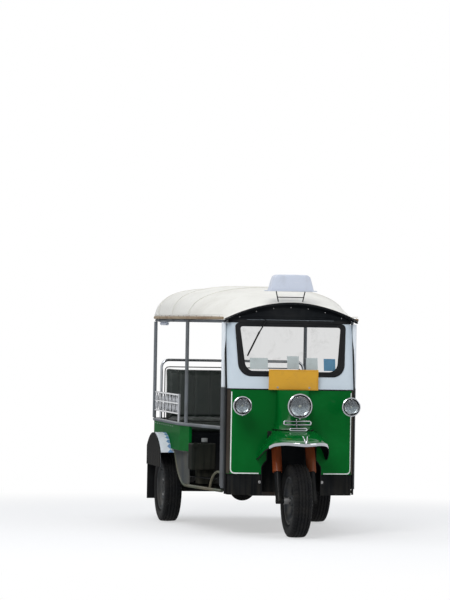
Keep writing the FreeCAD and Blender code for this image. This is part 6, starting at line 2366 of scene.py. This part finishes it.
@dataclass
class SideLooks:
    """Trim of both sides: tread plate on the fenders, scrolls in the guards and screws.

    Attributes:
        fender: (middle of X, middle of Y, axle height, radius) of a rear fender.
        tread: (pitch round the fender, pitch across it, half length) of the lozenges.
        tread_rows: Lozenges across the fender.
        tread_ys: Where the tread starts and ends.
        guard_z: Heights of the guard's two upper rails.
        guard_line: (x, y) at the guard's front and rear.
        scroll_pitch: Least distance from scroll to scroll.
        screw_ys: Where the row of screws starts and ends.
        screw_z: Their height.
    """

    fender: tuple[float, float, float, float] = (0.643, 0.775, 0.270, 0.430)
    tread: tuple[float, float, float] = (0.030, 0.024, 0.012)
    tread_rows: int = 6
    tread_ys: tuple[float, float] = (0.475, 1.050)
    guard_z: tuple[float, float] = (0.866, 1.010)
    guard_line: tuple[tuple[float, float], tuple[float, float]] = ((0.641, 0.130), (0.619, 1.321))
    scroll_pitch: float = 0.159
    screw_ys: tuple[float, float] = (0.42, 1.27)
    screw_z: float = 0.762

    def lozenges(self) -> Form:
        """Raised lozenges of the fenders' tread plate.

        Returns:
            Their form on the left side.
        """
        x0, y0, z0, radius = self.fender
        pitch, apart, half = self.tread
        form = Form()
        for i in range(int(math.radians(150) * radius / pitch)):
            angle = math.radians(15) + i * pitch / radius
            out = Vector((0.0, -math.cos(angle), math.sin(angle)))
            along = Vector((0.0, math.sin(angle), math.cos(angle)))
            if not self.tread_ys[0] <= y0 + out.y * radius <= self.tread_ys[1]:
                continue
            for j in range(self.tread_rows):
                centre = Vector((x0 + (j - (self.tread_rows - 1) / 2) * apart, y0, z0)) + out * radius
                lean = math.radians(45 if (i + j) % 2 else -45)
                one = along * math.cos(lean) + Vector((math.sin(lean), 0.0, 0.0))
                two, half_wide = out.cross(one), half / 4
                ring = [one * half, (two + one) * half_wide, (two - one) * half_wide, one * -half,
                        (two + one) * -half_wide, (one - two) * half_wide]
                base = [centre - out * 0.0004 + p for p in ring]
                top = [centre + out * 0.0016 + p * 0.62 for p in ring]
                form.add(Form.grid([base, top], True))
                count = len(form.points)
                form.faces.append(tuple(range(count - 6, count)))
        return form

    def scroll(self, centre: Vector, along: Vector, size: float, turn: float) -> Form:
        """One S-shaped scroll of thin tube.

        Args:
            centre: Its middle.
            along: The direction of the guard.
            size: Half of its height.
            turn: 1 or -1 for the way that it curls.

        Returns:
            Its form.
        """
        points = []
        for k in range(25):
            t = k / 24
            angle = t * 3.3 * math.pi
            radius = size * 0.46 * (1.0 - 0.72 * t)
            points.append((math.cos(angle + math.pi / 2) * radius * turn * -1.0,
                           size * 0.5 + math.sin(angle + math.pi / 2) * radius))
        arms = [along * (x * 0.9) + Vector((0.0, 0.0, z)) for x, z in points]
        line = [centre + step for step in reversed(arms)] + [centre - step for step in arms]
        return Form.tube(evened(line, 90), 0.0026, 7, upright=along.cross(Vector((0.0, 0.0, 1.0))))

    def guard(self, first_y: float) -> Form:
        """Scrolls in the left guard.

        Args:
            first_y: Where the guard starts.

        Returns:
            Their form.
        """
        (xa, ya), (xb, yb) = self.guard_line
        slope = (xb - xa) / (yb - ya)
        along = Vector((slope, 1.0, 0.0)).normalized()
        form = Form()
        middle_z = sum(self.guard_z) / 2
        count = int((yb - first_y) / self.scroll_pitch)
        pitch = (yb - first_y - 0.006) / count
        for i in range(count):
            y = first_y + 0.003 + pitch * (i + 0.5)
            centre = Vector((xa + slope * (y - ya), y, middle_z))
            for side in (-1.0, 1.0):
                form.add(self.scroll(centre + along * side * 0.030, along, 0.062, side))
        return form

    def screws(self) -> Form:
        """Screws along the ribbed side panels and the tub.

        Returns:
            Their form on the left side.
        """
        form = Form()
        for y in between(*self.screw_ys, 9):
            x = 0.641 - (y - 0.085) * 0.0184
            form.add(Form.rivet((x, y, self.screw_z), (1.0, 0.0, 0.0), 0.0045))
        return form

    def build(self, palette: Palette) -> None:
        """Makes every piece of the sides.

        Args:
            palette: The finishes.
        """
        tread = Piece("fender_tread", self.lozenges().both_sides()).build(palette, "fender_paint", 30.0)
        tread.finish_of("aluminium_plate")
        scrolls = Form().add(self.guard(0.358)).add(self.guard(0.130).mirrored())
        Piece("guard_scrolls", scrolls).build(palette, "chrome").finish_of("chrome")
        Piece("tub_screws", self.screws().both_sides()).build(palette, "chrome").finish_of("chrome")


def main() -> None:
    """Builds the taxi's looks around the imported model, sub-assembly by sub-assembly."""
    logging.basicConfig(level=logging.INFO, format="%(name)s %(message)s")
    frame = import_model()
    palette = Palette()
    surfaces = {row["node"]: row["material_slot"] for row in frame["record"]["subparts"]}
    surfaces.update(windscreen_posts="post_paint", rear_fenders="fender_paint", lower_side_panels="panel_paint",
                    sill_tubes="sill_paint", side_box="knob_paint", sign_legs="dark_paint")
    for name, node in frame["nodes"].items():
        node.data.materials.clear()
        node.data.materials.append(palette.get(surfaces[name]))
    Canopy().build(palette)
    RoofSign().build(palette)
    FrontWall().build(palette)
    LampSet().build(palette)
    Nose().build(palette)
    for body, node, centre, outward in (
            (Body.FRONT_WHEEL, "tyre_front", (0.0, -1.215, 0.270), 1),
            (Body.REAR_RIGHT, "tyre_rear_right", (-0.600, 0.775, 0.270), -1),
            (Body.REAR_LEFT, "tyre_rear_left", (0.600, 0.775, 0.270), 1)):
        WheelLooks(body, node, centre, outward).build(palette)
    SideLooks().build(palette)
    for name, low, high, node, channels, face in (
            ("bench_cushion_vinyl", (-0.570, 0.615, 0.7073), (0.570, 1.1947, 0.8123), "bench_cushion", 9, "Z"),
            ("bench_backrest_vinyl", (-0.570, 1.195, 0.7073), (0.570, 1.290, 1.224), "bench_backrest", 9, "Y"),
            ("driver_cushion_vinyl", (-0.240, -0.385, 0.6903), (0.240, -0.025, 0.7853), "driver_seat", 4, "Z"),
            ("driver_back_vinyl", (-0.220, -0.023, 0.6903), (0.220, 0.039, 1.0203), "driver_seat", 4, "Y")):
        Cushion(name, low, high, node, channels, face).build(palette)
    Stage().build()


if __name__ == "__main__":
    main()
